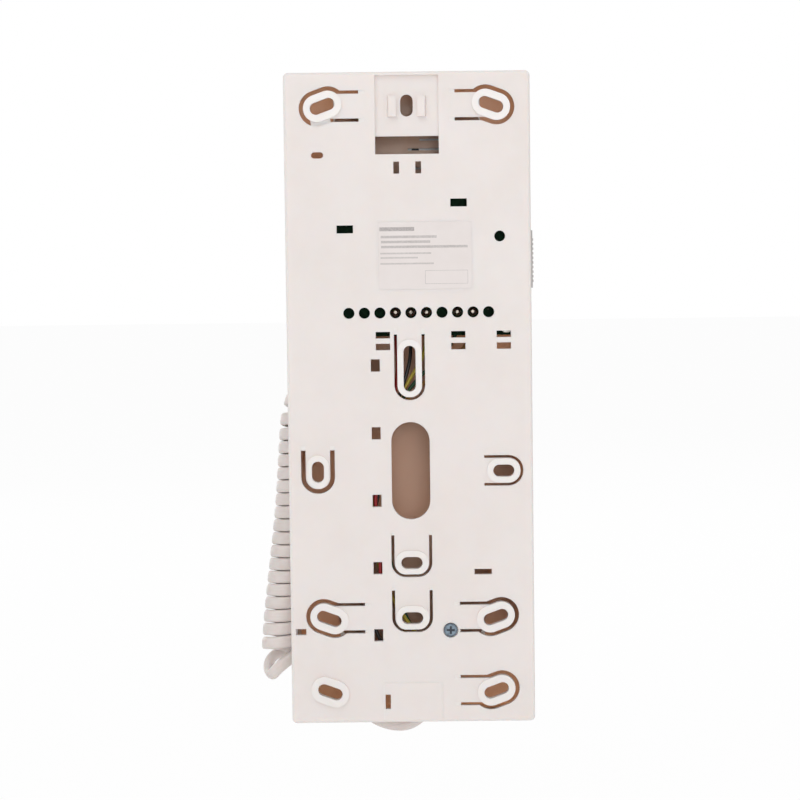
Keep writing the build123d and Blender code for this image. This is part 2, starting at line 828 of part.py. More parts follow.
with BuildPart() as front_cover:
    with BuildSketch(Plane.XZ.offset(seam_depth)):
        with Locations((0, base_mid_z)):
            RectangleRounded(base_width, base_height, base_corner_radius)
    extrude(amount=cover_height)
    fillet(front_cover.faces().sort_by(Axis.Y)[0].edges(), cover_edge_radius)
    with BuildSketch(Plane.XZ.offset(seam_depth - cut_overrun)):
        with Locations((0, base_mid_z)):
            RectangleRounded(
                base_width - 2 * cover_wall,
                base_height - 2 * cover_wall,
                cover_inner_radius,
            )
    extrude(amount=cover_inner_depth - seam_depth + cut_overrun, mode=Mode.SUBTRACT)
    # lip that slips into the tray
    with BuildSketch(Plane.XZ.offset(seam_depth)):
        with Locations((0, base_mid_z)):
            Rectangle(base_width - cover_wall, base_height - cover_wall)
            Rectangle(
                base_width - 2 * tray_wall - 2 * lip_gap - 2 * lip_thickness,
                base_height - 2 * tray_wall - 2 * lip_gap - 2 * lip_thickness,
                mode=Mode.SUBTRACT,
            )
    extrude(amount=lip_root)
    with BuildSketch(Plane.XZ.offset(seam_depth - lip_reach)):
        with Locations((0, base_mid_z)):
            RectangleRounded(
                base_width - 2 * tray_wall - 2 * lip_gap,
                base_height - 2 * tray_wall - 2 * lip_gap,
                tray_inner_radius,
            )
            Rectangle(
                base_width - 2 * tray_wall - 2 * lip_gap - 2 * lip_thickness,
                base_height - 2 * tray_wall - 2 * lip_gap - 2 * lip_thickness,
                mode=Mode.SUBTRACT,
            )
    extrude(amount=lip_reach)
    # casings of the two wells
    for block_w, block_h, block_z in wells:
        with BuildSketch(Plane.XZ.offset(well_inner_depth)):
            with Locations((0, block_z + well_lift)):
                RectangleRounded(
                    block_w + 2 * well_side_gap + 2 * well_wall,
                    block_h + well_height_gain + 2 * well_wall,
                    well_radius + well_wall,
                )
        extrude(amount=cover_inner_depth - well_inner_depth + cut_overrun)
        with BuildSketch(Plane.XZ.offset(well_floor_depth)):
            with Locations((0, block_z + well_lift)):
                RectangleRounded(
                    block_w + 2 * well_side_gap,
                    block_h + well_height_gain,
                    well_radius,
                )
        extrude(amount=well_depth + cut_overrun, mode=Mode.SUBTRACT)
    # pillars for the circuit board
    with BuildSketch(Plane.XZ.offset(board_front_depth)):
        with Locations(*pillar_places):
            Circle(pillar_diameter / 2)
    extrude(amount=cover_inner_depth - board_front_depth + cut_overrun)
    with BuildSketch(Plane.XZ.offset(board_front_depth)):
        with Locations(*pillar_places):
            Circle(pillar_bore_diameter / 2)
    extrude(amount=pillar_bore_depth, mode=Mode.SUBTRACT)
    # boss for the plate screw
    with BuildSketch(Plane.XZ.offset(plate_front_depth)):
        with Locations((plate_screw_x, plate_screw_z)):
            Circle(plate_screw_boss_diameter / 2)
            Circle(plate_screw_shank_diameter / 2 + slip_gap, mode=Mode.SUBTRACT)
    extrude(amount=well_inner_depth - plate_front_depth)
    # sounder grille
    with BuildSketch(Plane.XZ.offset(well_inner_depth - cut_overrun)):
        for slit in range(grille_count):
            rise = (slit - (grille_count - 1) / 2) * grille_pitch
            chord = 2 * math.sqrt(grille_radius ** 2 - rise ** 2)
            with Locations((grille_x, grille_z + rise)):
                Rectangle(chord, grille_slit)
    extrude(amount=well_floor_thickness + 2 * cut_overrun, mode=Mode.SUBTRACT)
    # hole for the hook plunger
    with BuildSketch(Plane.XZ.offset(well_inner_depth - cut_overrun)):
        with Locations((hook_x, hook_z)):
            Circle(plunger_diameter / 2 + plunger_hole_gap)
    extrude(amount=well_floor_thickness + 2 * cut_overrun, mode=Mode.SUBTRACT)
    # holes for the door button and the indicator
    with BuildSketch(Plane.XZ.offset(cover_inner_depth - cut_overrun)):
        with Locations((button_x, button_z)):
            SlotOverall(
                button_height + 2 * button_side_gap,
                button_width + 2 * button_side_gap,
                rotation=90,
            )
        with Locations((lens_x, lens_z)):
            Circle(lens_diameter / 2 + slip_gap)
    extrude(amount=cover_front_wall + 2 * cut_overrun, mode=Mode.SUBTRACT)
    # window for the volume slider
    with BuildSketch(Plane.YZ.offset(-base_width / 2 - cut_overrun)):
        with Locations((-slider_depth, slider_window_mid_z)):
            Rectangle(slider_width + 2 * slider_window_gap, slider_window_length)
    extrude(amount=cover_wall + 2 * cut_overrun, mode=Mode.SUBTRACT)
    # hood over the cord outlet
    with BuildSketch(Plane.XZ.offset(cover_front_depth - cut_overrun)):
        with Locations((hood_centre_x, hood_mid_z)):
            Rectangle(hood_width, hood_top_z - hood_bottom_z)
    extrude(amount=hood_rise + cut_overrun)
    fillet(front_cover.faces().sort_by(Axis.Y)[0].edges(), hood_edge_radius)
    with BuildSketch(boot_plane):
        Circle(boot_diameter / 2 + slip_gap)
    extrude(amount=boot_length + cut_overrun, mode=Mode.SUBTRACT)
    with BuildSketch(Plane.XZ.offset(cover_inner_depth - cut_overrun)):
        with Locations((boot_start.X, boot_start.Z)):
            Circle(hood_wire_hole_diameter / 2)
    extrude(amount=boot_depth - cover_inner_depth + cut_overrun, mode=Mode.SUBTRACT)
front_cover.part.label = "front_cover"
export_step(front_cover.part, "parts/front_cover.step")

with BuildPart() as cord_boot:
    with BuildSketch(boot_plane):
        Circle(boot_diameter / 2)
    extrude(amount=boot_length)
    fillet(cord_boot.faces().sort_by(Axis.Z)[-1].edges(), slip_gap)
cord_boot.part.label = "cord_boot"
export_step(cord_boot.part, "parts/cord_boot.step")

with BuildPart() as main_board:
    with BuildSketch(Plane.XZ.offset(board_back_depth)):
        with Locations((0, board_mid_z)):
            RectangleRounded(board_width, board_height, board_corner_radius)
        with Locations(*pillar_places):
            Circle(board_screw_shank_diameter / 2 + slip_gap, mode=Mode.SUBTRACT)
    extrude(amount=board_thickness)
main_board.part.label = "main_board"
export_step(main_board.part, "parts/main_board.step")

with BuildPart() as board_screws:
    with BuildSketch(Plane.XZ.offset(board_back_depth - board_screw_head_height)):
        with Locations(*pillar_places):
            Circle(board_screw_head_diameter / 2)
    extrude(amount=board_screw_head_height)
    with BuildSketch(Plane.XZ.offset(board_back_depth)):
        with Locations(*pillar_places):
            Circle(board_screw_shank_diameter / 2)
    extrude(amount=board_screw_length)
    with BuildSketch(Plane.XZ.offset(board_back_depth - board_screw_head_height)):
        with Locations(*pillar_places):
            Rectangle(cross_slot_length, cross_slot_width)
            Rectangle(cross_slot_width, cross_slot_length)
    extrude(amount=cross_slot_depth, mode=Mode.SUBTRACT)
board_screws.part.label = "board_screws"
export_step(board_screws.part, "parts/board_screws.step")

# Places of the poles, counted along the row of pin holes
main_block_pins = [
    pin_row_first_x - (main_block_first_pin + pole) * pin_hole_pitch
    for pole in range(main_block_poles)
]
door_block_pins = [
    pin_row_first_x - (door_block_first_pin + pole) * pin_hole_pitch
    for pole in range(door_block_poles)
]
block_front_depth = board_front_depth + block_depth
port_depth = board_front_depth + wire_port_rise

with BuildPart() as main_terminal_block:
    with BuildSketch(Plane.XZ.offset(board_front_depth)):
        with Locations((sum(main_block_pins) / main_block_poles, pin_row_z)):
            Rectangle(main_block_poles * pin_hole_pitch, block_height)
    extrude(amount=block_depth)
    chamfer(main_terminal_block.faces().sort_by(Axis.Y)[0].edges(), block_edge)
    with BuildSketch(Plane.XY.offset(pin_row_z - block_height / 2)):
        for pin_x in main_block_pins:
            with Locations((pin_x, -port_depth - wire_port_height / 2)):
                Rectangle(wire_port_width, wire_port_height)
    extrude(amount=wire_port_reach, mode=Mode.SUBTRACT)
    with BuildSketch(Plane.XZ.offset(block_front_depth)):
        for pin_x in main_block_pins:
            with Locations((pin_x, pin_row_z)):
                Circle(block_screw_diameter / 2 + slip_gap)
    extrude(amount=-(block_screw_length + block_screw_sink), mode=Mode.SUBTRACT)
main_terminal_block.part.label = "main_terminal_block"
export_step(main_terminal_block.part, "parts/main_terminal_block.step")

with BuildPart() as door_terminal_block:
    with BuildSketch(Plane.XZ.offset(board_front_depth)):
        with Locations((sum(door_block_pins) / door_block_poles, pin_row_z)):
            Rectangle(door_block_poles * pin_hole_pitch, block_height)
    extrude(amount=block_depth)
    chamfer(door_terminal_block.faces().sort_by(Axis.Y)[0].edges(), block_edge)
    with BuildSketch(Plane.XY.offset(pin_row_z - block_height / 2)):
        for pin_x in door_block_pins:
            with Locations((pin_x, -port_depth - wire_port_height / 2)):
                Rectangle(wire_port_width, wire_port_height)
    extrude(amount=wire_port_reach, mode=Mode.SUBTRACT)
    with BuildSketch(Plane.XZ.offset(block_front_depth)):
        for pin_x in door_block_pins:
            with Locations((pin_x, pin_row_z)):
                Circle(block_screw_diameter / 2 + slip_gap)
    extrude(amount=-(block_screw_length + block_screw_sink), mode=Mode.SUBTRACT)
door_terminal_block.part.label = "door_terminal_block"
export_step(door_terminal_block.part, "parts/door_terminal_block.step")

terminal_pins = main_block_pins + door_block_pins

with BuildPart() as terminal_screws:
    with BuildSketch(Plane.XZ.offset(block_front_depth - block_screw_sink)):
        for pin_x in terminal_pins:
            with Locations((pin_x, pin_row_z)):
                Circle(block_screw_diameter / 2)
    extrude(amount=-block_screw_length)
    with BuildSketch(Plane.XZ.offset(block_front_depth - block_screw_sink)):
        for pin_x in terminal_pins:
            with Locations((pin_x, pin_row_z)):
                Rectangle(cross_slot_length, cross_slot_width)
    extrude(amount=-cross_slot_depth, mode=Mode.SUBTRACT)
terminal_screws.part.label = "terminal_screws"
export_step(terminal_screws.part, "parts/terminal_screws.step")

with BuildPart() as solder_joints:
    with BuildSketch(Plane.XZ.offset(board_back_depth)):
        for pin_x in terminal_pins:
            with Locations((pin_x, pin_row_z)):
                Circle(solder_diameter / 2)
    extrude(amount=-solder_height)
    chamfer(
        solder_joints.faces().filter_by(Axis.Y).group_by(Axis.Y)[-1].edges(),
        solder_height - slip_gap,
        (solder_diameter - solder_tip_diameter) / 2,
    )
solder_joints.part.label = "solder_joints"
export_step(solder_joints.part, "parts/solder_joints.step")

# Volume slide switch
wall_outer_x = -base_width / 2
wall_inner_x = wall_outer_x + cover_wall
slider_face_x = wall_outer_x - slider_proud
slider_flange_outer_x = wall_inner_x + running_gap
slider_flange_inner_x = slider_flange_outer_x + slider_flange_thickness
stub_tip_x = slider_flange_inner_x + slider_stub_reach
volume_switch_outer_x = slider_flange_inner_x + running_gap
volume_switch_mid_x = volume_switch_outer_x + volume_switch_width / 2

with BuildPart() as volume_slider:
    with BuildSketch(Plane.YZ.offset(slider_face_x)):
        with Locations((-slider_depth, slider_mid_z)):
            Rectangle(slider_width, slider_length)
    extrude(amount=slider_flange_outer_x - slider_face_x)
    with BuildSketch(Plane.YZ.offset(slider_flange_outer_x)):
        with Locations((-slider_depth, slider_mid_z)):
            Rectangle(slider_flange_width, slider_flange_length)
    extrude(amount=slider_flange_thickness)
    with BuildSketch(Plane.YZ.offset(slider_flange_inner_x)):
        with Locations((-slider_depth, slider_mid_z)):
            Rectangle(slider_stub_width, slider_stub_height)
    extrude(amount=slider_stub_reach)
    with BuildSketch(Plane.YZ.offset(slider_face_x)):
        with Locations((-slider_depth, slider_mid_z + ridge_zone_offset)):
            with GridLocations(0, ridge_pitch, 1, ridge_count):
                Rectangle(slider_width, ridge_width)
    extrude(amount=-ridge_height)
volume_slider.part.label = "volume_slider"
export_step(volume_slider.part, "parts/volume_slider.step")

with BuildPart() as volume_switch:
    with BuildSketch(Plane.XZ.offset(board_front_depth)):
        with Locations((volume_switch_mid_x, slider_window_mid_z)):
            Rectangle(volume_switch_width, volume_switch_length)
    extrude(amount=volume_switch_height)
    with BuildSketch(Plane.YZ.offset(volume_switch_outer_x)):
        with Locations((-slider_depth, slider_window_mid_z)):
            Rectangle(
                slider_stub_width + 2 * running_gap,
                slider_stub_height + slider_free_below + slider_free_above + 2 * running_gap,
            )
    extrude(amount=slider_stub_reach + running_gap, mode=Mode.SUBTRACT)
volume_switch.part.label = "volume_switch"
export_step(volume_switch.part, "parts/volume_switch.step")

with BuildPart() as call_sounder:
    with BuildSketch(Plane.XZ.offset(board_front_depth)):
        with Locations((sounder_x, sounder_z)):
            Circle(sounder_diameter / 2)
    extrude(amount=sounder_height)
    with BuildSketch(Plane.XZ.offset(board_front_depth + sounder_height)):
        with Locations((sounder_x, sounder_z)):
            Circle(sounder_hole_diameter / 2)
    extrude(amount=-sounder_hole_depth, mode=Mode.SUBTRACT)
call_sounder.part.label = "call_sounder"
export_step(call_sounder.part, "parts/call_sounder.step")

with BuildPart() as indicator_led:
    with BuildSketch(Plane.XZ.offset(board_front_depth)):
        with Locations((lens_x, lens_z)):
            Circle(led_rim_diameter / 2)
    extrude(amount=led_rim_height)
    with BuildSketch(Plane.XZ.offset(board_front_depth + led_rim_height)):
        with Locations((lens_x, lens_z)):
            Circle(led_diameter / 2)
    extrude(amount=led_height - led_rim_height)
    fillet(indicator_led.faces().sort_by(Axis.Y)[0].edges(), led_diameter / 3)
indicator_led.part.label = "indicator_led"
export_step(indicator_led.part, "parts/indicator_led.step")

lens_flange_depth = cover_inner_depth - lens_flange_thickness

with BuildPart() as indicator_lens:
    with BuildSketch(Plane.XZ.offset(lens_flange_depth)):
        with Locations((lens_x, lens_z)):
            Circle(lens_flange_diameter / 2)
    extrude(amount=lens_flange_thickness)
    with BuildSketch(Plane.XZ.offset(cover_inner_depth)):
        with Locations((lens_x, lens_z)):
            Circle(lens_diameter / 2)
    extrude(amount=cover_front_wall + lens_proud)
    fillet(indicator_lens.faces().sort_by(Axis.Y)[0].edges(), lens_proud)
    with BuildSketch(Plane.XZ.offset(lens_flange_depth)):
        with Locations((lens_x, lens_z)):
            Circle(light_pipe_diameter / 2)
    extrude(amount=-light_pipe_reach)
indicator_lens.part.label = "indicator_lens"
export_step(indicator_lens.part, "parts/indicator_lens.step")

# Hook switch and the plunger that the ear block holds down
hook_switch_front = board_front_depth + hook_switch_depth
plunger_base_depth = hook_switch_front + running_gap
plunger_tip_depth = block_face_depth - plunger_tip_gap

with BuildPart() as hook_switch:
    with BuildSketch(Plane.XZ.offset(board_front_depth)):
        with Locations((hook_x, hook_z)):
            Rectangle(hook_switch_width, hook_switch_height)
    extrude(amount=hook_switch_depth)
hook_switch.part.label = "hook_switch"
export_step(hook_switch.part, "parts/hook_switch.step")

with BuildPart() as hook_plunger:
    with BuildSketch(Plane.XZ.offset(plunger_base_depth)):
        with Locations((hook_x, hook_z)):
            Circle(plunger_diameter / 2)
    extrude(amount=plunger_tip_depth - plunger_base_depth)
    fillet(hook_plunger.faces().sort_by(Axis.Y)[0].edges(), plunger_tip_radius)
    with BuildSketch(Plane.XZ.offset(plunger_base_depth)):
        with Locations((hook_x, hook_z)):
            Circle(plunger_flange_diameter / 2)
    extrude(amount=plunger_flange_thickness)
hook_plunger.part.label = "hook_plunger"
export_step(hook_plunger.part, "parts/hook_plunger.step")

# Door button above its switch
door_switch_body_front = board_front_depth + door_switch_body_height
door_switch_front = door_switch_body_front + door_switch_pin_height
button_front_depth = cover_front_depth + button_proud
button_flange_front = cover_inner_depth - running_gap
button_flange_back = button_flange_front - button_flange_thickness
button_stem_end = door_switch_front + button_travel + running_gap

with BuildPart() as door_switch:
    with BuildSketch(Plane.XZ.offset(board_front_depth)):
        with Locations((button_x, button_z)):
            Rectangle(door_switch_size, door_switch_size)
    extrude(amount=door_switch_body_height)
    with BuildSketch(Plane.XZ.offset(door_switch_body_front)):
        with Locations((button_x, button_z)):
            Circle(door_switch_pin_diameter / 2)
    extrude(amount=door_switch_pin_height)
door_switch.part.label = "door_switch"
export_step(door_switch.part, "parts/door_switch.step")

with BuildPart() as door_button:
    with BuildSketch(Plane.XZ.offset(button_flange_front)):
        with Locations((button_x, button_z)):
            SlotOverall(button_height, button_width, rotation=90)
    extrude(amount=button_front_depth - button_flange_front)
    fillet(door_button.faces().sort_by(Axis.Y)[0].edges(), button_edge_radius)
    with BuildSketch(Plane.XZ.offset(button_flange_back)):
        with Locations((button_x, button_z)):
            SlotOverall(
                button_height + 2 * button_flange_margin,
                button_width + 2 * button_flange_margin,
                rotation=90,
            )
    extrude(amount=button_flange_thickness)
    with BuildSketch(Plane.XZ.offset(button_stem_end)):
        with Locations((button_x, button_z)):
            Circle(button_stem_diameter / 2)
    extrude(amount=button_flange_back - button_stem_end)
door_button.part.label = "door_button"
export_step(door_button.part, "parts/door_button.step")

with BuildPart() as control_chip:
    with BuildSketch(Plane.XZ.offset(board_front_depth)):
        with Locations((chip_x, chip_z)):
            Rectangle(chip_width, chip_height)
    extrude(amount=chip_depth)
control_chip.part.label = "control_chip"
export_step(control_chip.part, "parts/control_chip.step")

with BuildPart() as capacitors:
    with BuildSketch(Plane.XZ.offset(board_front_depth)):
        with Locations((capacitor_first_x, capacitor_z), (capacitor_second_x, capacitor_z)):
            Circle(capacitor_diameter / 2)
    extrude(amount=capacitor_height)
capacitors.part.label = "capacitors"
export_step(capacitors.part, "parts/capacitors.step")

with BuildPart() as wire_socket:
    with BuildSketch(Plane.XZ.offset(board_front_depth)):
        with Locations((socket_x, socket_z)):
            Rectangle(socket_width, socket_height)
    extrude(amount=socket_depth)
    with BuildSketch(Plane.XZ.offset(board_front_depth + socket_depth)):
        with Locations((socket_x, socket_z)):
            Rectangle(socket_slot_width, socket_slot_height)
    extrude(amount=-socket_slot_depth, mode=Mode.SUBTRACT)
wire_socket.part.label = "wire_socket"
export_step(wire_socket.part, "parts/wire_socket.step")


def handset_form(inset):
    # the whole handset, drawn in by the same amount on every side
    with BuildPart() as form:
        with BuildSketch(Plane.XZ.offset(grip_depth + inset)):
            with Locations((0, handset_mid_z)):
                RectangleRounded(
                    handset_width - 2 * inset,
                    handset_length - 2 * inset,
                    handset_corner_radius - inset,
                )
        extrude(amount=handset_crown_rise)
        with BuildSketch(Plane.YZ):
            with Locations((handset_arc_radius - handset_crown_depth, handset_mid_z)):
                Circle(handset_arc_radius - inset)
        extrude(amount=handset_width, both=True, mode=Mode.INTERSECT)
        if inset < handset_back_radius:
            fillet(form.faces().sort_by(Axis.Y)[-1].edges(), handset_back_radius - inset)
        if inset < handset_front_radius:
            fillet(form.faces().sort_by(Axis.Y)[0].edges(), handset_front_radius - inset)
        for block_w, block_h, block_z in wells:
            with BuildSketch(Plane.XZ.offset(block_face_depth + inset)):
                with Locations((0, block_z)):
                    RectangleRounded(
                        block_w - 2 * inset,
                        block_h - 2 * inset,
                        block_corner_radius - inset,
                    )
            extrude(amount=grip_depth + block_root - block_face_depth)
    return form.part


handset_outside = handset_form(0)
handset_inside = handset_form(handset_wall)
post_start = grip_depth + handset_wall + slip_gap
post_places = [(0, post_upper_z), (0, post_lower_z)]
post_roof = handset_crown_depth - handset_wall / 2
post_roof_drop = (post_upper_z - handset_mid_z) ** 2 / (2 * handset_arc_radius)
handset_screw_seat = grip_depth + handset_screw_recess_depth
relief_plane_z = handset_bottom_z + handset_wall

with BuildPart() as handset_outer_shell:
    add(handset_outside)
    add(handset_inside, mode=Mode.SUBTRACT)
    split(bisect_by=Plane.XZ.offset(parting_depth), keep=Keep.TOP)
    with BuildSketch(Plane.XZ.offset(post_start)):
        with Locations(*post_places):
            Circle(post_diameter / 2)
    extrude(amount=post_roof - post_roof_drop - post_start)
    with BuildSketch(Plane.XZ.offset(post_start)):
        with Locations(*post_places):
            Circle(post_bore_diameter / 2)
    extrude(amount=handset_screw_length, mode=Mode.SUBTRACT)
handset_outer_shell.part.label = "handset_outer_shell"
export_step(handset_outer_shell.part, "parts/handset_outer_shell.step")

with BuildPart() as handset_inner_shell:
    add(handset_outside)
    add(handset_inside, mode=Mode.SUBTRACT)
    split(bisect_by=Plane.XZ.offset(parting_depth), keep=Keep.BOTTOM)
    # listening and speaking holes
    with BuildSketch(Plane.XZ.offset(block_face_depth - cut_overrun)):
        with Locations((0, ear_block_z)):
            Circle(ear_hole_diameter / 2)
            with PolarLocations(ear_hole_ring_radius, ear_hole_count):
                Circle(ear_hole_diameter / 2)
        with Locations((0, mic_z)):
            with GridLocations(mic_hole_pitch, 0, mic_hole_count, 1):
                Circle(mic_hole_diameter / 2)
    extrude(amount=handset_wall + 2 * cut_overrun, mode=Mode.SUBTRACT)
    # screw holes under the grip
    with BuildSketch(Plane.XZ.offset(grip_depth - cut_overrun)):
        with Locations(*post_places):
            Circle(handset_screw_shank_diameter / 2 + slip_gap)
    extrude(amount=handset_wall + 2 * cut_overrun, mode=Mode.SUBTRACT)
    with BuildSketch(Plane.XZ.offset(grip_depth - cut_overrun)):
        with Locations(*post_places):
            Circle(handset_screw_recess_diameter / 2)
    extrude(amount=handset_screw_recess_depth + cut_overrun, mode=Mode.SUBTRACT)
    # hole for the strain relief in the lower end
    with BuildSketch(Plane.XY.offset(handset_bottom_z - cut_overrun)):
        with Locations((0, -relief_depth)):
            Circle(relief_neck_diameter / 2 + slip_gap)
    extrude(amount=handset_wall + 2 * cut_overrun, mode=Mode.SUBTRACT)
handset_inner_shell.part.label = "handset_inner_shell"
export_step(handset_inner_shell.part, "parts/handset_inner_shell.step")

with BuildPart() as handset_screws:
    with BuildSketch(Plane.XZ.offset(handset_screw_seat - handset_screw_head_height)):
        with Locations(*post_places):
            Circle(handset_screw_head_diameter / 2)
    extrude(amount=handset_screw_head_height)
    with BuildSketch(Plane.XZ.offset(handset_screw_seat)):
        with Locations(*post_places):
            Circle(handset_screw_shank_diameter / 2)
    extrude(amount=handset_screw_length)
    with BuildSketch(Plane.XZ.offset(handset_screw_seat - handset_screw_head_height)):
        with Locations(*post_places):
            Rectangle(cross_slot_length, cross_slot_width)
            Rectangle(cross_slot_width, cross_slot_length)
    extrude(amount=cross_slot_depth, mode=Mode.SUBTRACT)
handset_screws.part.label = "handset_screws"
export_step(handset_screws.part, "parts/handset_screws.step")

block_inner_depth = block_face_depth + handset_wall
earpiece_depth = block_inner_depth + gasket_thickness

with BuildPart() as earpiece_gasket:
    with BuildSketch(Plane.XZ.offset(block_inner_depth)):
        with Locations((0, ear_block_z)):
            Circle(gasket_outer_diameter / 2)
            Circle(gasket_inner_diameter / 2, mode=Mode.SUBTRACT)
    extrude(amount=gasket_thickness)
earpiece_gasket.part.label = "earpiece_gasket"
export_step(earpiece_gasket.part, "parts/earpiece_gasket.step")

with BuildPart() as earpiece:
    with BuildSketch(Plane.XZ.offset(earpiece_depth)):
        with Locations((0, ear_block_z)):
            Circle(gasket_outer_diameter / 2)
    extrude(amount=earpiece_rim_height)
    with BuildSketch(Plane.XZ.offset(earpiece_depth + earpiece_rim_height)):
        with Locations((0, ear_block_z)):
            Circle(gasket_inner_diameter / 2)
    with BuildSketch(
        Plane.XZ.offset(earpiece_depth + earpiece_rim_height + earpiece_cone_height)
    ):
        with Locations((0, ear_block_z)):
            Circle(earpiece_magnet_diameter / 2)
    loft()
    with BuildSketch(
        Plane.XZ.offset(earpiece_depth + earpiece_rim_height + earpiece_cone_height)
    ):
        with Locations((0, ear_block_z)):
            Circle(earpiece_magnet_diameter / 2)
    extrude(amount=earpiece_magnet_height)
earpiece.part.label = "earpiece"
export_step(earpiece.part, "parts/earpiece.step")

with BuildPart() as microphone_boot:
    with BuildSketch(Plane.XZ.offset(block_inner_depth)):
        with Locations((0, mic_z)):
            Circle(mic_boot_diameter / 2)
            Circle(mic_diameter / 2 + slip_gap, mode=Mode.SUBTRACT)
    extrude(amount=mic_boot_height)
microphone_boot.part.label = "microphone_boot"
export_step(microphone_boot.part, "parts/microphone_boot.step")

with BuildPart() as microphone:
    with BuildSketch(Plane.XZ.offset(block_inner_depth + running_gap)):
        with Locations((0, mic_z)):
            Circle(mic_diameter / 2)
    extrude(amount=mic_height)
microphone.part.label = "microphone"
export_step(microphone.part, "parts/microphone.step")

with BuildPart() as handset_strain_relief:
    with BuildSketch(Plane.XY.offset(relief_plane_z)):
        with Locations((0, -relief_depth)):
            RectangleRounded(
                relief_flange_width,
                relief_flange_height,
                relief_flange_height / 3,
            )
    extrude(amount=relief_flange_thickness)
    with BuildSketch(Plane.XY.offset(handset_bottom_z)):
        with Locations((0, -relief_depth)):
            Circle(relief_neck_diameter / 2)
    extrude(amount=handset_wall)
    with BuildSketch(Plane.XY.offset(handset_bottom_z - relief_length)):
        with Locations((0, -relief_depth)):
            Circle(relief_tip_diameter / 2)
    with BuildSketch(Plane.XY.offset(handset_bottom_z)):
        with Locations((0, -relief_depth)):
            Circle(relief_outer_diameter / 2)
    loft()
handset_strain_relief.part.label = "handset_strain_relief"
export_step(handset_strain_relief.part, "parts/handset_strain_relief.step")


# Cords and wires, as points in millimetres that follow the photograph where it shows them
coil_axis_points = [
    (-33.2, -31.3, -56.0),
    (-33.7, -31.3, -38.0),
    (-33.3, -31.3, -18.0),
    (-33.6, -31.3, 0.0),
    (-33.0, -31.3, 13.5),
    (-29.0, -31.3, 24.5),
    (-20.5, -31.3, 31.0),
    (-8.0, -31.3, 33.4),
    (6.0, -31.3, 34.0),
    (20.5, -31.3, 33.2),
    (30.5, -31.3, 28.8),
    (36.9, -31.3, 19.5),
    (38.1, -31.3, 6.5),
    (38.9, -31.3, -7.0),
    (40.3, -31.3, -22.0),
    (42.6, -31.3, -40.0),
    (44.2, -31.3, -54.0),
    (45.0, -31.3, -65.0),
    (44.5, -33.6, -69.2),
    (44.5, -38.6, -69.2),
]
coil_radius = (coil_diameter - cord_diameter) / 2
coil_bend_limit_share = 0.8
coil_steps_per_turn = 36
coil_smoothing_turns = 1.4
coil_start_side = Vector(1, 0, 0)
coil_end_side = Vector(0, 0, 1)
coil_end_overturn = math.radians(10)


def across(way, side):
    return (side - way * way.dot(side)).normalized()


with BuildLine() as coil_axis:
    FilletPolyline(*coil_axis_points, radius=corner_radii(coil_axis_points))
coil_axis_wire = coil_axis.wire()
axis_length = coil_axis_wire.length
axis_count = math.ceil(axis_length / coil_pitch * coil_steps_per_turn / 4)
axis_step = axis_length / axis_count
axis_spots = [
    coil_axis_wire.position_at(i * axis_step, PositionMode.LENGTH) for i in range(axis_count + 1)
]
axis_ways = []
for i in range(axis_count + 1):
    spot_before = axis_spots[max(i - 1, 0)]
    spot_after = axis_spots[min(i + 1, axis_count)]
    axis_ways.append((spot_after - spot_before).normalized())

# The pitch opens where the axis bends, so that the turns keep clear on the inside of the bend
tight_pitch = []
for i in range(axis_count + 1):
    j = min(max(i, 1), axis_count - 1)
    bend = (axis_ways[j + 1] - axis_ways[j - 1]).length / (2 * axis_step)
    tight_pitch.append(coil_pitch / (1 - min(bend * coil_diameter / 2, coil_bend_limit_share)))
half_span = round(coil_smoothing_turns * coil_pitch / axis_step / 2)
turns = [0.0]
for i in range(axis_count):
    near = tight_pitch[max(i - half_span, 0) : i + half_span + 1]
    turns.append(turns[-1] + axis_step * len(near) / sum(near))

# Sides of the coil carried along the axis without twisting, from the end that hangs loose
axis_sides = [across(axis_ways[-1], coil_end_side)]
for i in range(axis_count - 1, -1, -1):
    axis_sides.insert(0, across(axis_ways[i], axis_sides[0]))
start_cross = axis_ways[0].cross(axis_sides[0])
start_turn = math.atan2(start_cross.dot(coil_start_side), axis_sides[0].dot(coil_start_side))
spare_turns = (turns[-1] - (coil_end_overturn - start_turn) / math.tau) % 1
turn_scale = (turns[-1] - spare_turns) / turns[-1]
coil_turns = turns[-1] * turn_scale


def coil_spot(turn):
    # point of the cord's centre line after so many turns from the handset's end
    share = min(max(turn / turn_scale, 0), turns[-1])
    low = 0
    high = axis_count
    while high - low > 1:
        middle = (low + high) // 2
        if turns[middle] <= share:
            low = middle
        else:
            high = middle
    part = (share - turns[low]) / (turns[high] - turns[low])
    spot = axis_spots[low] * (1 - part) + axis_spots[high] * part
    way = (axis_ways[low] * (1 - part) + axis_ways[high] * part).normalized()
    side = across(way, axis_sides[low] * (1 - part) + axis_sides[high] * part)
    angle = math.tau * (coil_turns - turn) - coil_end_overturn
    return spot + (side * math.cos(angle) - way.cross(side) * math.sin(angle)) * coil_radius


def coil_way(turn):
    little = 1 / (2 * coil_steps_per_turn)
    before = coil_spot(max(turn - little, 0))
    after = coil_spot(min(turn + little, coil_turns))
    return (after - before).normalized()


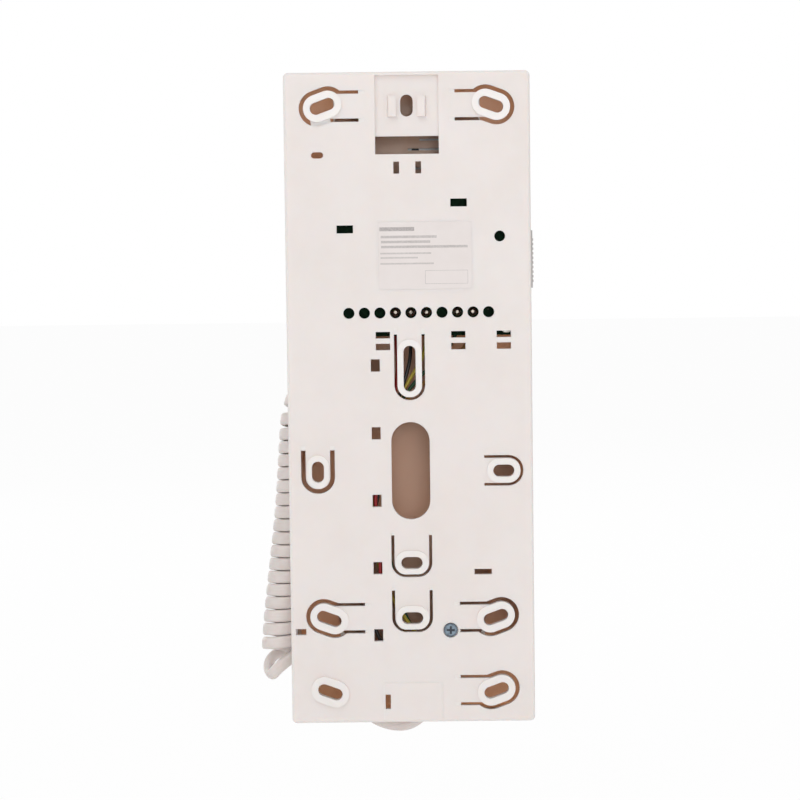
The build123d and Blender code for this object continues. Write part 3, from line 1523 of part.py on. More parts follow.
# Each half turn is two arcs that share a tangent where they meet
half_turns = math.ceil(2 * coil_turns)
coil_marks = [coil_turns * i / half_turns for i in range(half_turns + 1)]
coil_arcs = []
for turn_a, turn_b in zip(coil_marks, coil_marks[1:]):
    spot_a = coil_spot(turn_a)
    spot_b = coil_spot(turn_b)
    way_a = coil_way(turn_a)
    way_b = coil_way(turn_b)
    gap = spot_b - spot_a
    ways = way_a + way_b
    lean = 2 * (1 - way_a.dot(way_b))
    reach = (math.sqrt(gap.dot(ways) ** 2 + lean * gap.dot(gap)) - gap.dot(ways)) / lean
    joint = (spot_a + spot_b + (way_a - way_b) * reach) * 0.5
    joint_way = (gap - ways * reach).normalized()
    coil_arcs.append((spot_a, joint, way_a))
    coil_arcs.append((joint, spot_b, joint_way))
coil_start = coil_spot(0)
coil_start_way = coil_way(0)
coil_end = coil_spot(coil_turns)
coil_end_way = coil_way(coil_turns)
coil_head = coil_start - coil_start_way * cord_diameter
coil_tail = coil_end + coil_end_way * cord_diameter

with BuildPart() as coil_cord:
    with BuildLine() as coil_line:
        Line(coil_head, coil_start)
        for spot_a, spot_b, way in coil_arcs:
            TangentArc(spot_a, spot_b, tangent=way)
        Line(coil_end, coil_tail)
    coil_wire = coil_line.wire()
    with BuildSketch(Plane(origin=coil_head, z_dir=coil_start_way)):
        Circle(cord_diameter / 2)
    sweep(path=coil_wire)
coil_cord.part.label = "coil_cord"
export_step(coil_cord.part, "parts/coil_cord.step")

coil_count = math.ceil(coil_turns * coil_steps_per_turn)
coil_spots = [
    coil_wire.position_at(coil_wire.length * i / coil_count, PositionMode.LENGTH)
    for i in range(coil_count + 1)
]
coil_spots = [(spot.X, spot.Y, spot.Z) for spot in coil_spots]
spots_apart = coil_steps_per_turn // 3
least_gap = coil_diameter
for i, spot_a in enumerate(coil_spots):
    for spot_b in coil_spots[i + spots_apart : i + 4 * coil_steps_per_turn]:
        least_gap = min(least_gap, math.dist(spot_a, spot_b) - cord_diameter)
print("coil turns", round(coil_turns, 2), "cord in the coil", round(coil_wire.length, 1))
print("coil least gap", round(least_gap, 3), "needed", coil_gap_needed)

base_lead_tip = coil_tail + coil_end_way * base_lead_first_run
base_lead_points = [
    (boot_end.X, boot_end.Y, boot_end.Z),
    (-7.11, -30.5, -79.0),
    (-3.3, -30.6, -85.4),
    (1.8, -30.9, -88.9),
    (7.8, -31.6, -88.9),
    (13.6, -33.0, -86.8),
    (18.7, -35.4, -82.2),
    (22.9, -38.6, -76.4),
    (27.4, -41.6, -70.4),
    (base_lead_tip.X, base_lead_tip.Y, base_lead_tip.Z),
    (coil_tail.X, coil_tail.Y, coil_tail.Z),
]
handset_lead_tip = coil_head - coil_start_way * handset_lead_first_run
handset_lead_points = [
    (coil_head.X, coil_head.Y, coil_head.Z),
    (handset_lead_tip.X, handset_lead_tip.Y, handset_lead_tip.Z),
    (-28.9, -45.4, -60.2),
    (-30.0, -48.8, -65.0),
    (-30.8, -50.2, -71.2),
    (-29.4, -49.8, -76.9),
    (-25.4, -48.5, -81.4),
    (-20.0, -46.7, -84.0),
    (-14.9, -44.9, -85.1),
    (-9.6, -43.6, -84.7),
    (-5.3, -42.9, -82.8),
    (-1.9, -42.5, -79.4),
    (0.0, -relief_depth, -74.9),
    (0.0, -relief_depth, handset_bottom_z - relief_length),
]

with BuildPart() as base_lead:
    with BuildLine() as base_lead_line:
        FilletPolyline(*base_lead_points, radius=corner_radii(base_lead_points))
    base_lead_wire = base_lead_line.wire()
    with BuildSketch(Plane(origin=boot_end, z_dir=base_lead_wire % 0)):
        Circle(cord_diameter / 2)
    sweep(path=base_lead_wire)
base_lead.part.label = "base_lead"
export_step(base_lead.part, "parts/base_lead.step")

with BuildPart() as handset_lead:
    with BuildLine() as handset_lead_line:
        FilletPolyline(*handset_lead_points, radius=corner_radii(handset_lead_points))
    handset_lead_wire = handset_lead_line.wire()
    with BuildSketch(Plane(origin=coil_head, z_dir=handset_lead_wire % 0)):
        Circle(cord_diameter / 2)
    sweep(path=handset_lead_wire)
handset_lead.part.label = "handset_lead"
export_step(handset_lead.part, "parts/handset_lead.step")

for lead_name, lead, lead_wire, lead_points in (
    ("base lead", base_lead, base_lead_wire, base_lead_points),
    ("handset lead", handset_lead, handset_lead_wire, handset_lead_points),
):
    section = math.pi * cord_diameter ** 2 / 4
    print(lead_name, "radii", [round(r, 1) for r in corner_radii(lead_points)])
    print(lead_name, "length", round(lead_wire.length, 1))
    print(lead_name, "volume share", round(lead.part.volume / (section * lead_wire.length), 4))

# Wires inside the base, from the cord hood to the terminal blocks
red_wire_points = [
    (-10.93, -26.5, -68.24),
    (-10.9, -15.6, -68.1),
    (-8.8, -8.8, -65.8),
    (-1.5, -5.4, -61.4),
    (6.6, -5.0, -57.6),
    (11.3, -5.0, -49.0),
    (10.2, -5.0, -37.0),
    (10.5, -5.0, -24.0),
    (11.9, -5.0, -11.0),
    (10.4, -5.0, 3.0),
    (7.9, -5.0, 15.0),
    (4.6, -5.4, 25.0),
    (3.7, -7.6, 34.5),
    (4.35, -11.1, 42.0),
    (4.35, -11.1, 50.6),
]
black_wire_points = [
    (-9.23, -26.5, -68.24),
    (-9.0, -17.0, -68.3),
    (-5.6, -10.2, -68.0),
    (1.5, -6.9, -65.2),
    (8.5, -6.4, -60.6),
    (12.5, -6.4, -52.0),
    (13.4, -6.4, -42.0),
    (13.3, -6.4, -30.0),
    (12.7, -6.5, -18.0),
    (10.7, -6.5, -8.0),
    (8.3, -6.4, 4.0),
    (6.7, -6.4, 15.5),
    (2.6, -6.6, 26.0),
    (-0.2, -8.0, 35.0),
    (-0.65, -11.1, 42.3),
    (-0.65, -11.1, 50.6),
]
yellow_wire_points = [
    (-11.46, -26.5, -66.62),
    (-11.3, -17.5, -66.2),
    (-8.2, -11.2, -62.2),
    (-2.0, -8.2, -55.6),
    (3.3, -7.8, -47.7),
    (8.2, -7.8, -39.5),
    (11.4, -7.8, -30.0),
    (12.3, -7.9, -19.5),
    (11.9, -7.9, -8.5),
    (9.3, -7.8, 3.0),
    (6.5, -7.8, 13.5),
    (3.6, -7.9, 23.5),
    (-1.5, -8.3, 31.5),
    (-4.8, -9.0, 37.0),
    (-5.65, -11.1, 43.2),
    (-5.65, -11.1, 50.6),
]
green_wire_points = [
    (-10.08, -26.5, -65.62),
    (-9.9, -18.4, -65.2),
    (-6.4, -12.4, -61.2),
    (-1.4, -9.5, -55.0),
    (2.4, -9.2, -48.3),
    (5.2, -9.2, -40.0),
    (7.4, -9.2, -28.0),
    (7.8, -9.2, -14.5),
    (7.3, -9.2, -1.0),
    (7.0, -9.2, 11.0),
    (3.6, -9.3, 21.5),
    (-3.6, -9.4, 30.5),
    (-11.2, -9.9, 36.5),
    (-15.4, -11.1, 43.4),
    (-15.65, -11.1, 50.6),
]
amber_wire_points = [
    (-8.7, -26.5, -66.62),
    (-8.5, -19.4, -66.3),
    (-5.0, -13.4, -63.0),
    (0.2, -11.0, -57.6),
    (4.2, -10.6, -50.5),
    (6.6, -10.6, -42.0),
    (8.9, -10.6, -30.0),
    (9.4, -10.6, -16.5),
    (8.7, -10.6, -3.0),
    (8.3, -10.6, 8.5),
    (3.8, -10.6, 19.5),
    (-5.8, -10.6, 29.0),
    (-15.2, -10.8, 35.6),
    (-20.4, -11.1, 42.8),
    (-20.65, -11.1, 50.6),
]
# Wires inside the handset
ear_wire_points = [
    (1.2, -relief_depth, relief_plane_z + relief_flange_thickness),
    (1.2, -relief_depth, -50.0),
    (5.0, -44.0, -34.0),
    (7.6, -45.0, -12.0),
    (7.2, -45.0, 14.0),
    (8.0, -44.6, 40.0),
    (8.6, -43.4, 64.0),
    (9.4, -40.6, 80.0),
    (9.5, -36.0, 90.1),
    (9.5, -(earpiece_depth + earpiece_rim_height), 90.1),
]
mic_wire_points = [
    (-1.2, -relief_depth, relief_plane_z + relief_flange_thickness),
    (-1.2, -relief_depth, -55.4),
    (-1.3, -40.4, -49.8),
    (-1.5, -35.6, -46.0),
    (-1.5, -(block_inner_depth + running_gap + mic_height), -46.0),
]

with BuildPart() as red_wire:
    with BuildLine() as red_wire_line:
        FilletPolyline(*red_wire_points, radius=corner_radii(red_wire_points))
    with BuildSketch(Plane(origin=red_wire_points[0], z_dir=red_wire_line.wire() % 0)):
        Circle(inner_wire_diameter / 2)
    sweep(path=red_wire_line.wire())
red_wire.part.label = "red_wire"
export_step(red_wire.part, "parts/red_wire.step")

with BuildPart() as black_wire:
    with BuildLine() as black_wire_line:
        FilletPolyline(*black_wire_points, radius=corner_radii(black_wire_points))
    with BuildSketch(Plane(origin=black_wire_points[0], z_dir=black_wire_line.wire() % 0)):
        Circle(inner_wire_diameter / 2)
    sweep(path=black_wire_line.wire())
black_wire.part.label = "black_wire"
export_step(black_wire.part, "parts/black_wire.step")

with BuildPart() as yellow_wire:
    with BuildLine() as yellow_wire_line:
        FilletPolyline(*yellow_wire_points, radius=corner_radii(yellow_wire_points))
    with BuildSketch(Plane(origin=yellow_wire_points[0], z_dir=yellow_wire_line.wire() % 0)):
        Circle(inner_wire_diameter / 2)
    sweep(path=yellow_wire_line.wire())
yellow_wire.part.label = "yellow_wire"
export_step(yellow_wire.part, "parts/yellow_wire.step")

with BuildPart() as green_wire:
    with BuildLine() as green_wire_line:
        FilletPolyline(*green_wire_points, radius=corner_radii(green_wire_points))
    with BuildSketch(Plane(origin=green_wire_points[0], z_dir=green_wire_line.wire() % 0)):
        Circle(inner_wire_diameter / 2)
    sweep(path=green_wire_line.wire())
green_wire.part.label = "green_wire"
export_step(green_wire.part, "parts/green_wire.step")

with BuildPart() as amber_wire:
    with BuildLine() as amber_wire_line:
        FilletPolyline(*amber_wire_points, radius=corner_radii(amber_wire_points))
    with BuildSketch(Plane(origin=amber_wire_points[0], z_dir=amber_wire_line.wire() % 0)):
        Circle(inner_wire_diameter / 2)
    sweep(path=amber_wire_line.wire())
amber_wire.part.label = "amber_wire"
export_step(amber_wire.part, "parts/amber_wire.step")

with BuildPart() as ear_wire:
    with BuildLine() as ear_wire_line:
        FilletPolyline(*ear_wire_points, radius=corner_radii(ear_wire_points))
    with BuildSketch(Plane(origin=ear_wire_points[0], z_dir=ear_wire_line.wire() % 0)):
        Circle(inner_wire_diameter / 2)
    sweep(path=ear_wire_line.wire())
ear_wire.part.label = "ear_wire"
export_step(ear_wire.part, "parts/ear_wire.step")

with BuildPart() as mic_wire:
    with BuildLine() as mic_wire_line:
        FilletPolyline(*mic_wire_points, radius=corner_radii(mic_wire_points))
    with BuildSketch(Plane(origin=mic_wire_points[0], z_dir=mic_wire_line.wire() % 0)):
        Circle(inner_wire_diameter / 2)
    sweep(path=mic_wire_line.wire())
mic_wire.part.label = "mic_wire"
export_step(mic_wire.part, "parts/mic_wire.step")

for wire_name, wire_points in (
    ("red", red_wire_points),
    ("black", black_wire_points),
    ("yellow", yellow_wire_points),
    ("green", green_wire_points),
    ("amber", amber_wire_points),
    ("ear", ear_wire_points),
    ("mic", mic_wire_points),
):
    print(wire_name, "wire least radius", round(min(corner_radii(wire_points)), 1))
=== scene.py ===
import math

import bpy
from mathutils import Matrix, Vector


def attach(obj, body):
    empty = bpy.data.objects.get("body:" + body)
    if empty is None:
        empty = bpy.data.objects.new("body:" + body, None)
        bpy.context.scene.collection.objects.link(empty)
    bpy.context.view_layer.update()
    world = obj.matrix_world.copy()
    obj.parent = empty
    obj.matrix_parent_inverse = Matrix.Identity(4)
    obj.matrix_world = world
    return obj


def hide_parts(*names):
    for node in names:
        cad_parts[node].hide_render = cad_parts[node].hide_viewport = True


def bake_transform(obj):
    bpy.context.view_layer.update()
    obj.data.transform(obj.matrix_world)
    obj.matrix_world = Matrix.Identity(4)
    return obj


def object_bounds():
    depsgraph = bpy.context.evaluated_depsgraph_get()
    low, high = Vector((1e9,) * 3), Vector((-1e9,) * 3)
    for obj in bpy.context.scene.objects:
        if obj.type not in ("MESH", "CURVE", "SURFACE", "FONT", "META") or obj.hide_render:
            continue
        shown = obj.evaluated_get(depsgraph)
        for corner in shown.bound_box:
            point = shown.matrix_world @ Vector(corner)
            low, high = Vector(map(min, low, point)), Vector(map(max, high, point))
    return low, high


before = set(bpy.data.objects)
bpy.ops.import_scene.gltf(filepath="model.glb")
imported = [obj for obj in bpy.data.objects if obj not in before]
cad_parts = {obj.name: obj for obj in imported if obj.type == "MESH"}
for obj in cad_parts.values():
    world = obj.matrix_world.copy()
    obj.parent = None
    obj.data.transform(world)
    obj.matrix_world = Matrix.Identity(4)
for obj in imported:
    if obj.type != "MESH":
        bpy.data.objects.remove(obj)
cad_low, cad_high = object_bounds()

MM = 0.001

# ---------------------------------------------------------------- the camera

# It looks at the back of the intercom from a little above, with a slight roll
VIEW_CENTRE = Vector((0.00322, 0.0, 0.02305))
VIEW_DISTANCE = 0.9
VIEW_TURN = math.radians(-0.25)
VIEW_RISE = math.radians(4.21)
VIEW_ROLL = math.radians(-0.709)
SENSOR_WIDTH = 36.0
FOCAL_SHARE = 2793.4 / 800
CLIP_START = 0.01


def set_up_camera():
    outward = Vector((
        math.sin(VIEW_TURN) * math.cos(VIEW_RISE),
        math.cos(VIEW_TURN) * math.cos(VIEW_RISE),
        math.sin(VIEW_RISE),
    ))
    right = (-outward).cross(Vector((0, 0, 1))).normalized()
    up = right.cross(-outward)
    rolled_right = right * math.cos(VIEW_ROLL) + up * math.sin(VIEW_ROLL)
    rolled_up = up * math.cos(VIEW_ROLL) - right * math.sin(VIEW_ROLL)
    axes = Matrix((rolled_right, rolled_up, outward)).transposed()
    lens = bpy.data.cameras.new("back_view")
    lens.sensor_width = SENSOR_WIDTH
    lens.lens = SENSOR_WIDTH * FOCAL_SHARE
    lens.clip_start = CLIP_START
    camera = bpy.data.objects.new("back_view", lens)
    bpy.context.scene.collection.objects.link(camera)
    place = Matrix.Translation(VIEW_CENTRE + outward * VIEW_DISTANCE)
    camera.matrix_world = place @ axes.to_4x4()
    bpy.context.scene.camera = camera


set_up_camera()

# ----------------------------------------------------------------- the cords

# Routes of the cord, in metres: the coil's middle line and the two plain leads
COIL_ROUTE = [
    (-0.0332, -0.0313, -0.0560),
    (-0.0337, -0.0313, -0.0380),
    (-0.0333, -0.0313, -0.0180),
    (-0.0336, -0.0313, 0.0000),
    (-0.0330, -0.0313, 0.0135),
    (-0.0290, -0.0313, 0.0245),
    (-0.0205, -0.0313, 0.0310),
    (-0.0080, -0.0313, 0.0334),
    (0.0060, -0.0313, 0.0340),
    (0.0205, -0.0313, 0.0332),
    (0.0305, -0.0313, 0.0288),
    (0.0369, -0.0313, 0.0195),
    (0.0381, -0.0313, 0.0065),
    (0.0389, -0.0313, -0.0070),
    (0.0403, -0.0313, -0.0220),
    (0.0426, -0.0313, -0.0400),
    (0.0442, -0.0313, -0.0540),
    (0.0450, -0.0313, -0.0650),
    (0.0445, -0.0336, -0.0692),
    (0.0445, -0.0386, -0.0692),
]
BASE_LEAD_ROUTE = [
    (-0.00868, -0.0305, -0.0727),
    (-0.00711, -0.0305, -0.0790),
    (-0.0033, -0.0306, -0.0854),
    (0.0018, -0.0309, -0.0889),
    (0.0078, -0.0316, -0.0889),
    (0.0136, -0.0330, -0.0868),
    (0.0187, -0.0354, -0.0822),
    (0.0229, -0.0386, -0.0764),
    (0.0274, -0.0416, -0.0704),
    (0.03448, -0.04176, -0.06634),
    (0.04030, -0.03978, -0.06557),
]
HANDSET_LEAD_ROUTE = [
    (-0.02888, -0.03495, -0.05649),
    (-0.02861, -0.04057, -0.05741),
    (-0.0289, -0.0454, -0.0602),
    (-0.0300, -0.0488, -0.0650),
    (-0.0308, -0.0502, -0.0712),
    (-0.0294, -0.0498, -0.0769),
    (-0.0254, -0.0485, -0.0814),
    (-0.0200, -0.0467, -0.0840),
    (-0.0149, -0.0449, -0.0851),
    (-0.0096, -0.0436, -0.0847),
    (-0.0053, -0.0429, -0.0828),
    (-0.0019, -0.0425, -0.0794),
    (0.0, -0.0423, -0.0749),
    (0.0, -0.0423, -0.0700),
]
ROUTE_FINENESS = 24
ROUNDING = 1e-9

# The plain leads are round, and the cord in the coil is a flat band
LEAD_RADIUS = 1.85 * MM
LEAD_STEP = 0.45 * MM
BAND_HALF_WIDTH = 2.04 * MM
BAND_HALF_THICKNESS = 1.2 * MM
ROUND_POWER = 2
BAND_POWER = 3.4
CORD_SIDES = 20
CORD_UV_LENGTH = 0.01

# Radii of the coil's winding: of the cord's middle at its ends and between them, and outside
COIL_END_RADIUS = 4.15 * MM
COIL_RADIUS = 4.8 * MM
COIL_OUTER_RADIUS = 6.0 * MM
COIL_PITCH = 4.26 * MM
COIL_START_SIDE = Vector((1, 0, 0))
COIL_END_SIDE = Vector((0, 0, 1))
END_OVERTURN = math.radians(10)
EASING_TURNS = 0.8
TURN_STEPS = 36
STEPS_PER_SPOT = 4
SMOOTHING_TURNS = 1.4
BEND_LIMIT = 0.8


def smooth_route(points):
    """The points along a smooth spline that has the route's points as its control points."""
    curve = bpy.data.curves.new("route", "CURVE")
    curve.dimensions = "3D"
    curve.resolution_u = ROUTE_FINENESS
    spline = curve.splines.new("NURBS")
    spline.points.add(len(points) - 1)
    for control, point in zip(spline.points, points):
        control.co = (*point, 1.0)
    spline.order_u = 3
    spline.use_endpoint_u = True
    holder = bpy.data.objects.new("route", curve)
    mesh = bpy.data.meshes.new_from_object(holder)
    line = [vertex.co.copy() for vertex in mesh.vertices]
    bpy.data.objects.remove(holder)
    bpy.data.curves.remove(curve)
    bpy.data.meshes.remove(mesh)
    return line


def line_length(line):
    return sum((b - a).length for a, b in zip(line, line[1:]))


def evenly_spaced(line, count):
    """The same line as count + 1 points an even distance apart."""
    step = line_length(line) / count
    spots = [line[0].copy()]
    travelled = 0.0
    for a, b in zip(line, line[1:]):
        run = (b - a).length
        while travelled + run >= step * len(spots) - ROUNDING and len(spots) < count:
            spots.append(a.lerp(b, (step * len(spots) - travelled) / run))
        travelled += run
    spots.append(line[-1].copy())
    return spots


def ways_along(spots):
    """The direction of travel at each spot."""
    last = len(spots) - 1
    return [
        (spots[min(i + 1, last)] - spots[max(i - 1, 0)]).normalized() for i in range(len(spots))
    ]


def square_to(way, side):
    """The side direction, turned to stand square to the way."""
    return (side - way * way.dot(side)).normalized()


def eased(share):
    """0 to 1 with a soft start and a soft end."""
    share = min(max(share, 0.0), 1.0)
    return share * share * (3 - 2 * share)


def coil_rings():
    """The flat cord wound round the coil's route, from the handset's end to the loose end."""
    route = smooth_route(COIL_ROUTE)
    length = line_length(route)
    count = math.ceil(length / COIL_PITCH * TURN_STEPS / STEPS_PER_SPOT)
    step = length / count
    spots = evenly_spaced(route, count)
    ways = ways_along(spots)

    # The pitch opens where the route bends, so that the turns keep clear on its inner side
    pitches = []
    for i in range(count + 1):
        j = min(max(i, 1), count - 1)
        bend = (ways[j + 1] - ways[j - 1]).length / (2 * step)
        pitches.append(COIL_PITCH / (1 - min(bend * COIL_OUTER_RADIUS, BEND_LIMIT)))
    half_span = round(SMOOTHING_TURNS * COIL_PITCH / step / 2)
    turns = [0.0]
    for i in range(count):
        near = pitches[max(i - half_span, 0):i + half_span + 1]
        turns.append(turns[-1] + step * len(near) / sum(near))

    # The turns are counted so that both ends of the coil face their leads
    sides = [square_to(ways[-1], COIL_END_SIDE)]
    for way in reversed(ways[:-1]):
        sides.insert(0, square_to(way, sides[0]))
    start_turn = math.atan2(
        ways[0].cross(sides[0]).dot(COIL_START_SIDE), sides[0].dot(COIL_START_SIDE))
    spare = (turns[-1] - (END_OVERTURN - start_turn) / math.tau) % 1
    scale = (turns[-1] - spare) / turns[-1]
    whole = turns[-1] * scale

    rings = []
    low = 0
    ring_count = math.ceil(whole * TURN_STEPS)
    for k in range(ring_count + 1):
        turn = whole * k / ring_count
        place = min(turn / scale, turns[-1])
        while low < count - 1 and turns[low + 1] < place:
            low += 1
        part = (place - turns[low]) / (turns[low + 1] - turns[low])
        spot = spots[low].lerp(spots[low + 1], part)
        way = ways[low].lerp(ways[low + 1], part).normalized()
        side = square_to(way, sides[low].lerp(sides[low + 1], part))
        angle = math.tau * (whole - turn) - END_OVERTURN
        outward = side * math.cos(angle) - way.cross(side) * math.sin(angle)
        flat = eased(min(turn, whole - turn) / EASING_TURNS)
        radius = COIL_END_RADIUS + (COIL_RADIUS - COIL_END_RADIUS) * flat
        rings.append((spot + outward * radius, way, flat))
    return rings


def lead_rings(points, first_side):
    """Round rings along a plain lead. The first side is carried along without twisting."""
    route = smooth_route(points)
    spots = evenly_spaced(route, math.ceil(line_length(route) / LEAD_STEP))
    side = first_side
    rings = []
    for spot, way in zip(spots, ways_along(spots)):
        side = square_to(way, side)
        rings.append((spot, side.copy(), 0.0))
    return rings


def cord_tube(name, rings):
    """A closed tube over rings that are round at 0 and a flat band at 1."""
    centres = [centre for centre, _, _ in rings]
    vertices = []
    for (centre, side, flat), way in zip(rings, ways_along(centres)):
        wide = square_to(way, side)
        thin = way.cross(wide)
        half_width = LEAD_RADIUS + (BAND_HALF_WIDTH - LEAD_RADIUS) * flat
        half_thickness = LEAD_RADIUS + (BAND_HALF_THICKNESS - LEAD_RADIUS) * flat
        power = ROUND_POWER / (ROUND_POWER + (BAND_POWER - ROUND_POWER) * flat)
        for k in range(CORD_SIDES):
            angle = math.tau * (k + 0.5) / CORD_SIDES
            across = math.copysign(abs(math.cos(angle)) ** power, math.cos(angle))
            out = math.copysign(abs(math.sin(angle)) ** power, math.sin(angle))
            vertices.append(centre + wide * across * half_width + thin * out * half_thickness)
    faces = []
    for i in range(len(rings) - 1):
        for k in range(CORD_SIDES):
            a = i * CORD_SIDES + k
            b = i * CORD_SIDES + (k + 1) % CORD_SIDES
            faces.append((a, b, b + CORD_SIDES, a + CORD_SIDES))
    last = (len(rings) - 1) * CORD_SIDES
    faces.append(tuple(reversed(range(CORD_SIDES))))
    faces.append(tuple(range(last, last + CORD_SIDES)))
    mesh = bpy.data.meshes.new(name)
    mesh.from_pydata(vertices, [], faces)
    travelled = [0.0]
    for a, b in zip(centres, centres[1:]):
        travelled.append(travelled[-1] + (b - a).length)
    layer = mesh.uv_layers.new(name="along_cord")
    for face in mesh.polygons[:-2]:
        i, k = divmod(face.index, CORD_SIDES)
        corners = ((k, i), (k + 1, i), (k + 1, i + 1), (k, i + 1))
        for loop, (round_share, ring) in zip(face.loop_indices, corners):
            layer.data[loop].uv = (round_share / CORD_SIDES, travelled[ring] / CORD_UV_LENGTH)
    mesh.polygons.foreach_set("use_smooth", [True] * len(mesh.polygons))
    mesh.update()
    tube = bpy.data.objects.new(name, mesh)
    bpy.context.scene.collection.objects.link(tube)
    return tube, [tuple(centre) for centre in centres]


coil = coil_rings()
head_way = (coil[1][0] - coil[0][0]).normalized()
base_lead = lead_rings(BASE_LEAD_ROUTE, Vector((0, -1, 0)))
carried = square_to(head_way, coil[0][1])
coil_head = (Vector(HANDSET_LEAD_ROUTE[0]), carried, 0.0)
base_rings = base_lead + list(reversed(coil)) + [coil_head]
base_cord, base_path = cord_tube("coiled_cord", base_rings)
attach(base_cord, "base")
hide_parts("base_lead", "coil_cord")

handset_rings = lead_rings(HANDSET_LEAD_ROUTE, coil[0][1])
handset_cord, handset_path = cord_tube("handset_cord", handset_rings)
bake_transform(handset_cord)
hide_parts("handset_lead")

# --------------------------------------------------- effects that materials share


def add_node(tree, kind, inputs=None, **settings):
    """A node with its settings, and its inputs set to a value or joined to a socket."""
    node = tree.nodes.new(kind)
    for key, value in settings.items():
        setattr(node, key, value)
    for key, value in (inputs or {}).items():
        if isinstance(value, bpy.types.NodeSocket):
            tree.links.new(value, node.inputs[key])
        else:
            node.inputs[key].default_value = value
    return node


def effect_group(name, inputs, outputs):
    """An empty node group with named sockets, its given values and the node they leave by."""
    group = bpy.data.node_groups.new(name, "ShaderNodeTree")
    for label, kind, value in inputs:
        socket = group.interface.new_socket(label, in_out="INPUT", socket_type="NodeSocket" + kind)
        socket.default_value = value
    for label, kind in outputs:
        group.interface.new_socket(label, in_out="OUTPUT", socket_type="NodeSocket" + kind)
    entry = group.nodes.new("NodeGroupInput")
    leave = group.nodes.new("NodeGroupOutput")
    return group, entry.outputs, leave


def object_place(tree):
    return add_node(tree, "ShaderNodeTexCoord").outputs["Object"]


def noise(tree, place, scale, detail=2.0, roughness=0.5):
    made = add_node(tree, "ShaderNodeTexNoise", {
        "Vector": place, "Scale": scale, "Detail": detail, "Roughness": roughness,
    })
    return made.outputs["Fac"]


def remap(tree, value, low, high, to_low=0.0, to_high=1.0):
    made = add_node(tree, "ShaderNodeMapRange", {
        "Value": value, "From Min": low, "From Max": high, "To Min": to_low, "To Max": to_high,
    })
    return made.outputs["Result"]


def compute(tree, operation, first, second=0.0, clamp=False):
    made = add_node(tree, "ShaderNodeMath", {0: first, 1: second}, operation=operation)
    made.use_clamp = clamp
    return made.outputs[0]


def mix_colour(tree, share, first, second):
    made = add_node(tree, "ShaderNodeMix", {"Factor": share}, data_type="RGBA")
    for socket, value in ((made.inputs[6], first), (made.inputs[7], second)):
        if isinstance(value, bpy.types.NodeSocket):
            tree.links.new(value, socket)
        else:
            socket.default_value = value
    return made.outputs[2]


def moulded_surface_group():
    """Fine spark-eroded grain, faint flow mottling and a little soiling."""
    group, given, leave = effect_group(
        "moulded_surface",
        [
            ("Colour", "Color", (0.8, 0.75, 0.72, 1)),
            ("Soiled", "Color", (0.7, 0.64, 0.6, 1)),
            ("Grain Scale", "Float", 3000.0),
            ("Soiling", "Float", 0.4),
            ("Gloss", "Float", 0.45),
        ],
        [("Colour", "Color"), ("Roughness", "Float"), ("Height", "Float")],
    )
    place = object_place(group)
    mottle = remap(group, noise(group, place, 38.0, 4.0, 0.6), 0.42, 0.72)
    specks = remap(group, noise(group, place, 900.0, 2.0), 0.66, 0.78)
    soil = compute(group, "ADD", mottle, compute(group, "MULTIPLY", specks, 0.35))
    soil = compute(group, "MULTIPLY", soil, given["Soiling"], clamp=True)
    colour = mix_colour(group, soil, given["Colour"], given["Soiled"])
    sheen = remap(group, noise(group, place, 210.0, 3.0), 0.3, 0.7, -0.05, 0.06)
    group.links.new(colour, leave.inputs["Colour"])
    group.links.new(compute(group, "ADD", given["Gloss"], sheen), leave.inputs["Roughness"])
    group.links.new(noise(group, place, given["Grain Scale"], 3.0, 0.65), leave.inputs["Height"])
    return group


def hairline_marks_group():
    """Thin rubbed lines, as hands and cloths leave on smooth plastic and metal."""
    group, given, leave = effect_group(
        "hairline_marks",
        [("Scale", "Float", 30.0), ("Amount", "Float", 0.5), ("Turn", "Vector", (0, 0, 0))],
        [("Mask", "Float")],
    )
    turned = add_node(group, "ShaderNodeMapping", {
        "Vector": object_place(group), "Rotation": given["Turn"], "Scale": (1.0, 14.0, 14.0),
    })
    field = noise(group, turned.outputs["Vector"], given["Scale"], 4.0, 0.55)
    line = compute(group, "ABSOLUTE", compute(group, "SUBTRACT", field, 0.5))
    thin = remap(group, line, 0.0, 0.006, 1.0, 0.0)
    patch = remap(group, noise(group, object_place(group), 60.0), 0.5, 0.65)
    mask = compute(group, "MULTIPLY", compute(group, "MULTIPLY", thin, patch), given["Amount"])
    group.links.new(mask, leave.inputs["Mask"])
    return group


def settled_dust_group():
    """Dust that lies on faces that look up."""
    group, given, leave = effect_group(
        "settled_dust", [("Amount", "Float", 0.3)], [("Mask", "Float")]
    )
    facing = add_node(group, "ShaderNodeSeparateXYZ", {
        0: add_node(group, "ShaderNodeNewGeometry").outputs["Normal"],
    })
    level = remap(group, facing.outputs["Z"], 0.55, 0.95)
    patch = remap(group, noise(group, object_place(group), 160.0, 5.0, 0.7), 0.35, 0.7)
    mask = compute(group, "MULTIPLY", compute(group, "MULTIPLY", level, patch), given["Amount"])
    group.links.new(mask, leave.inputs["Mask"])
    return group


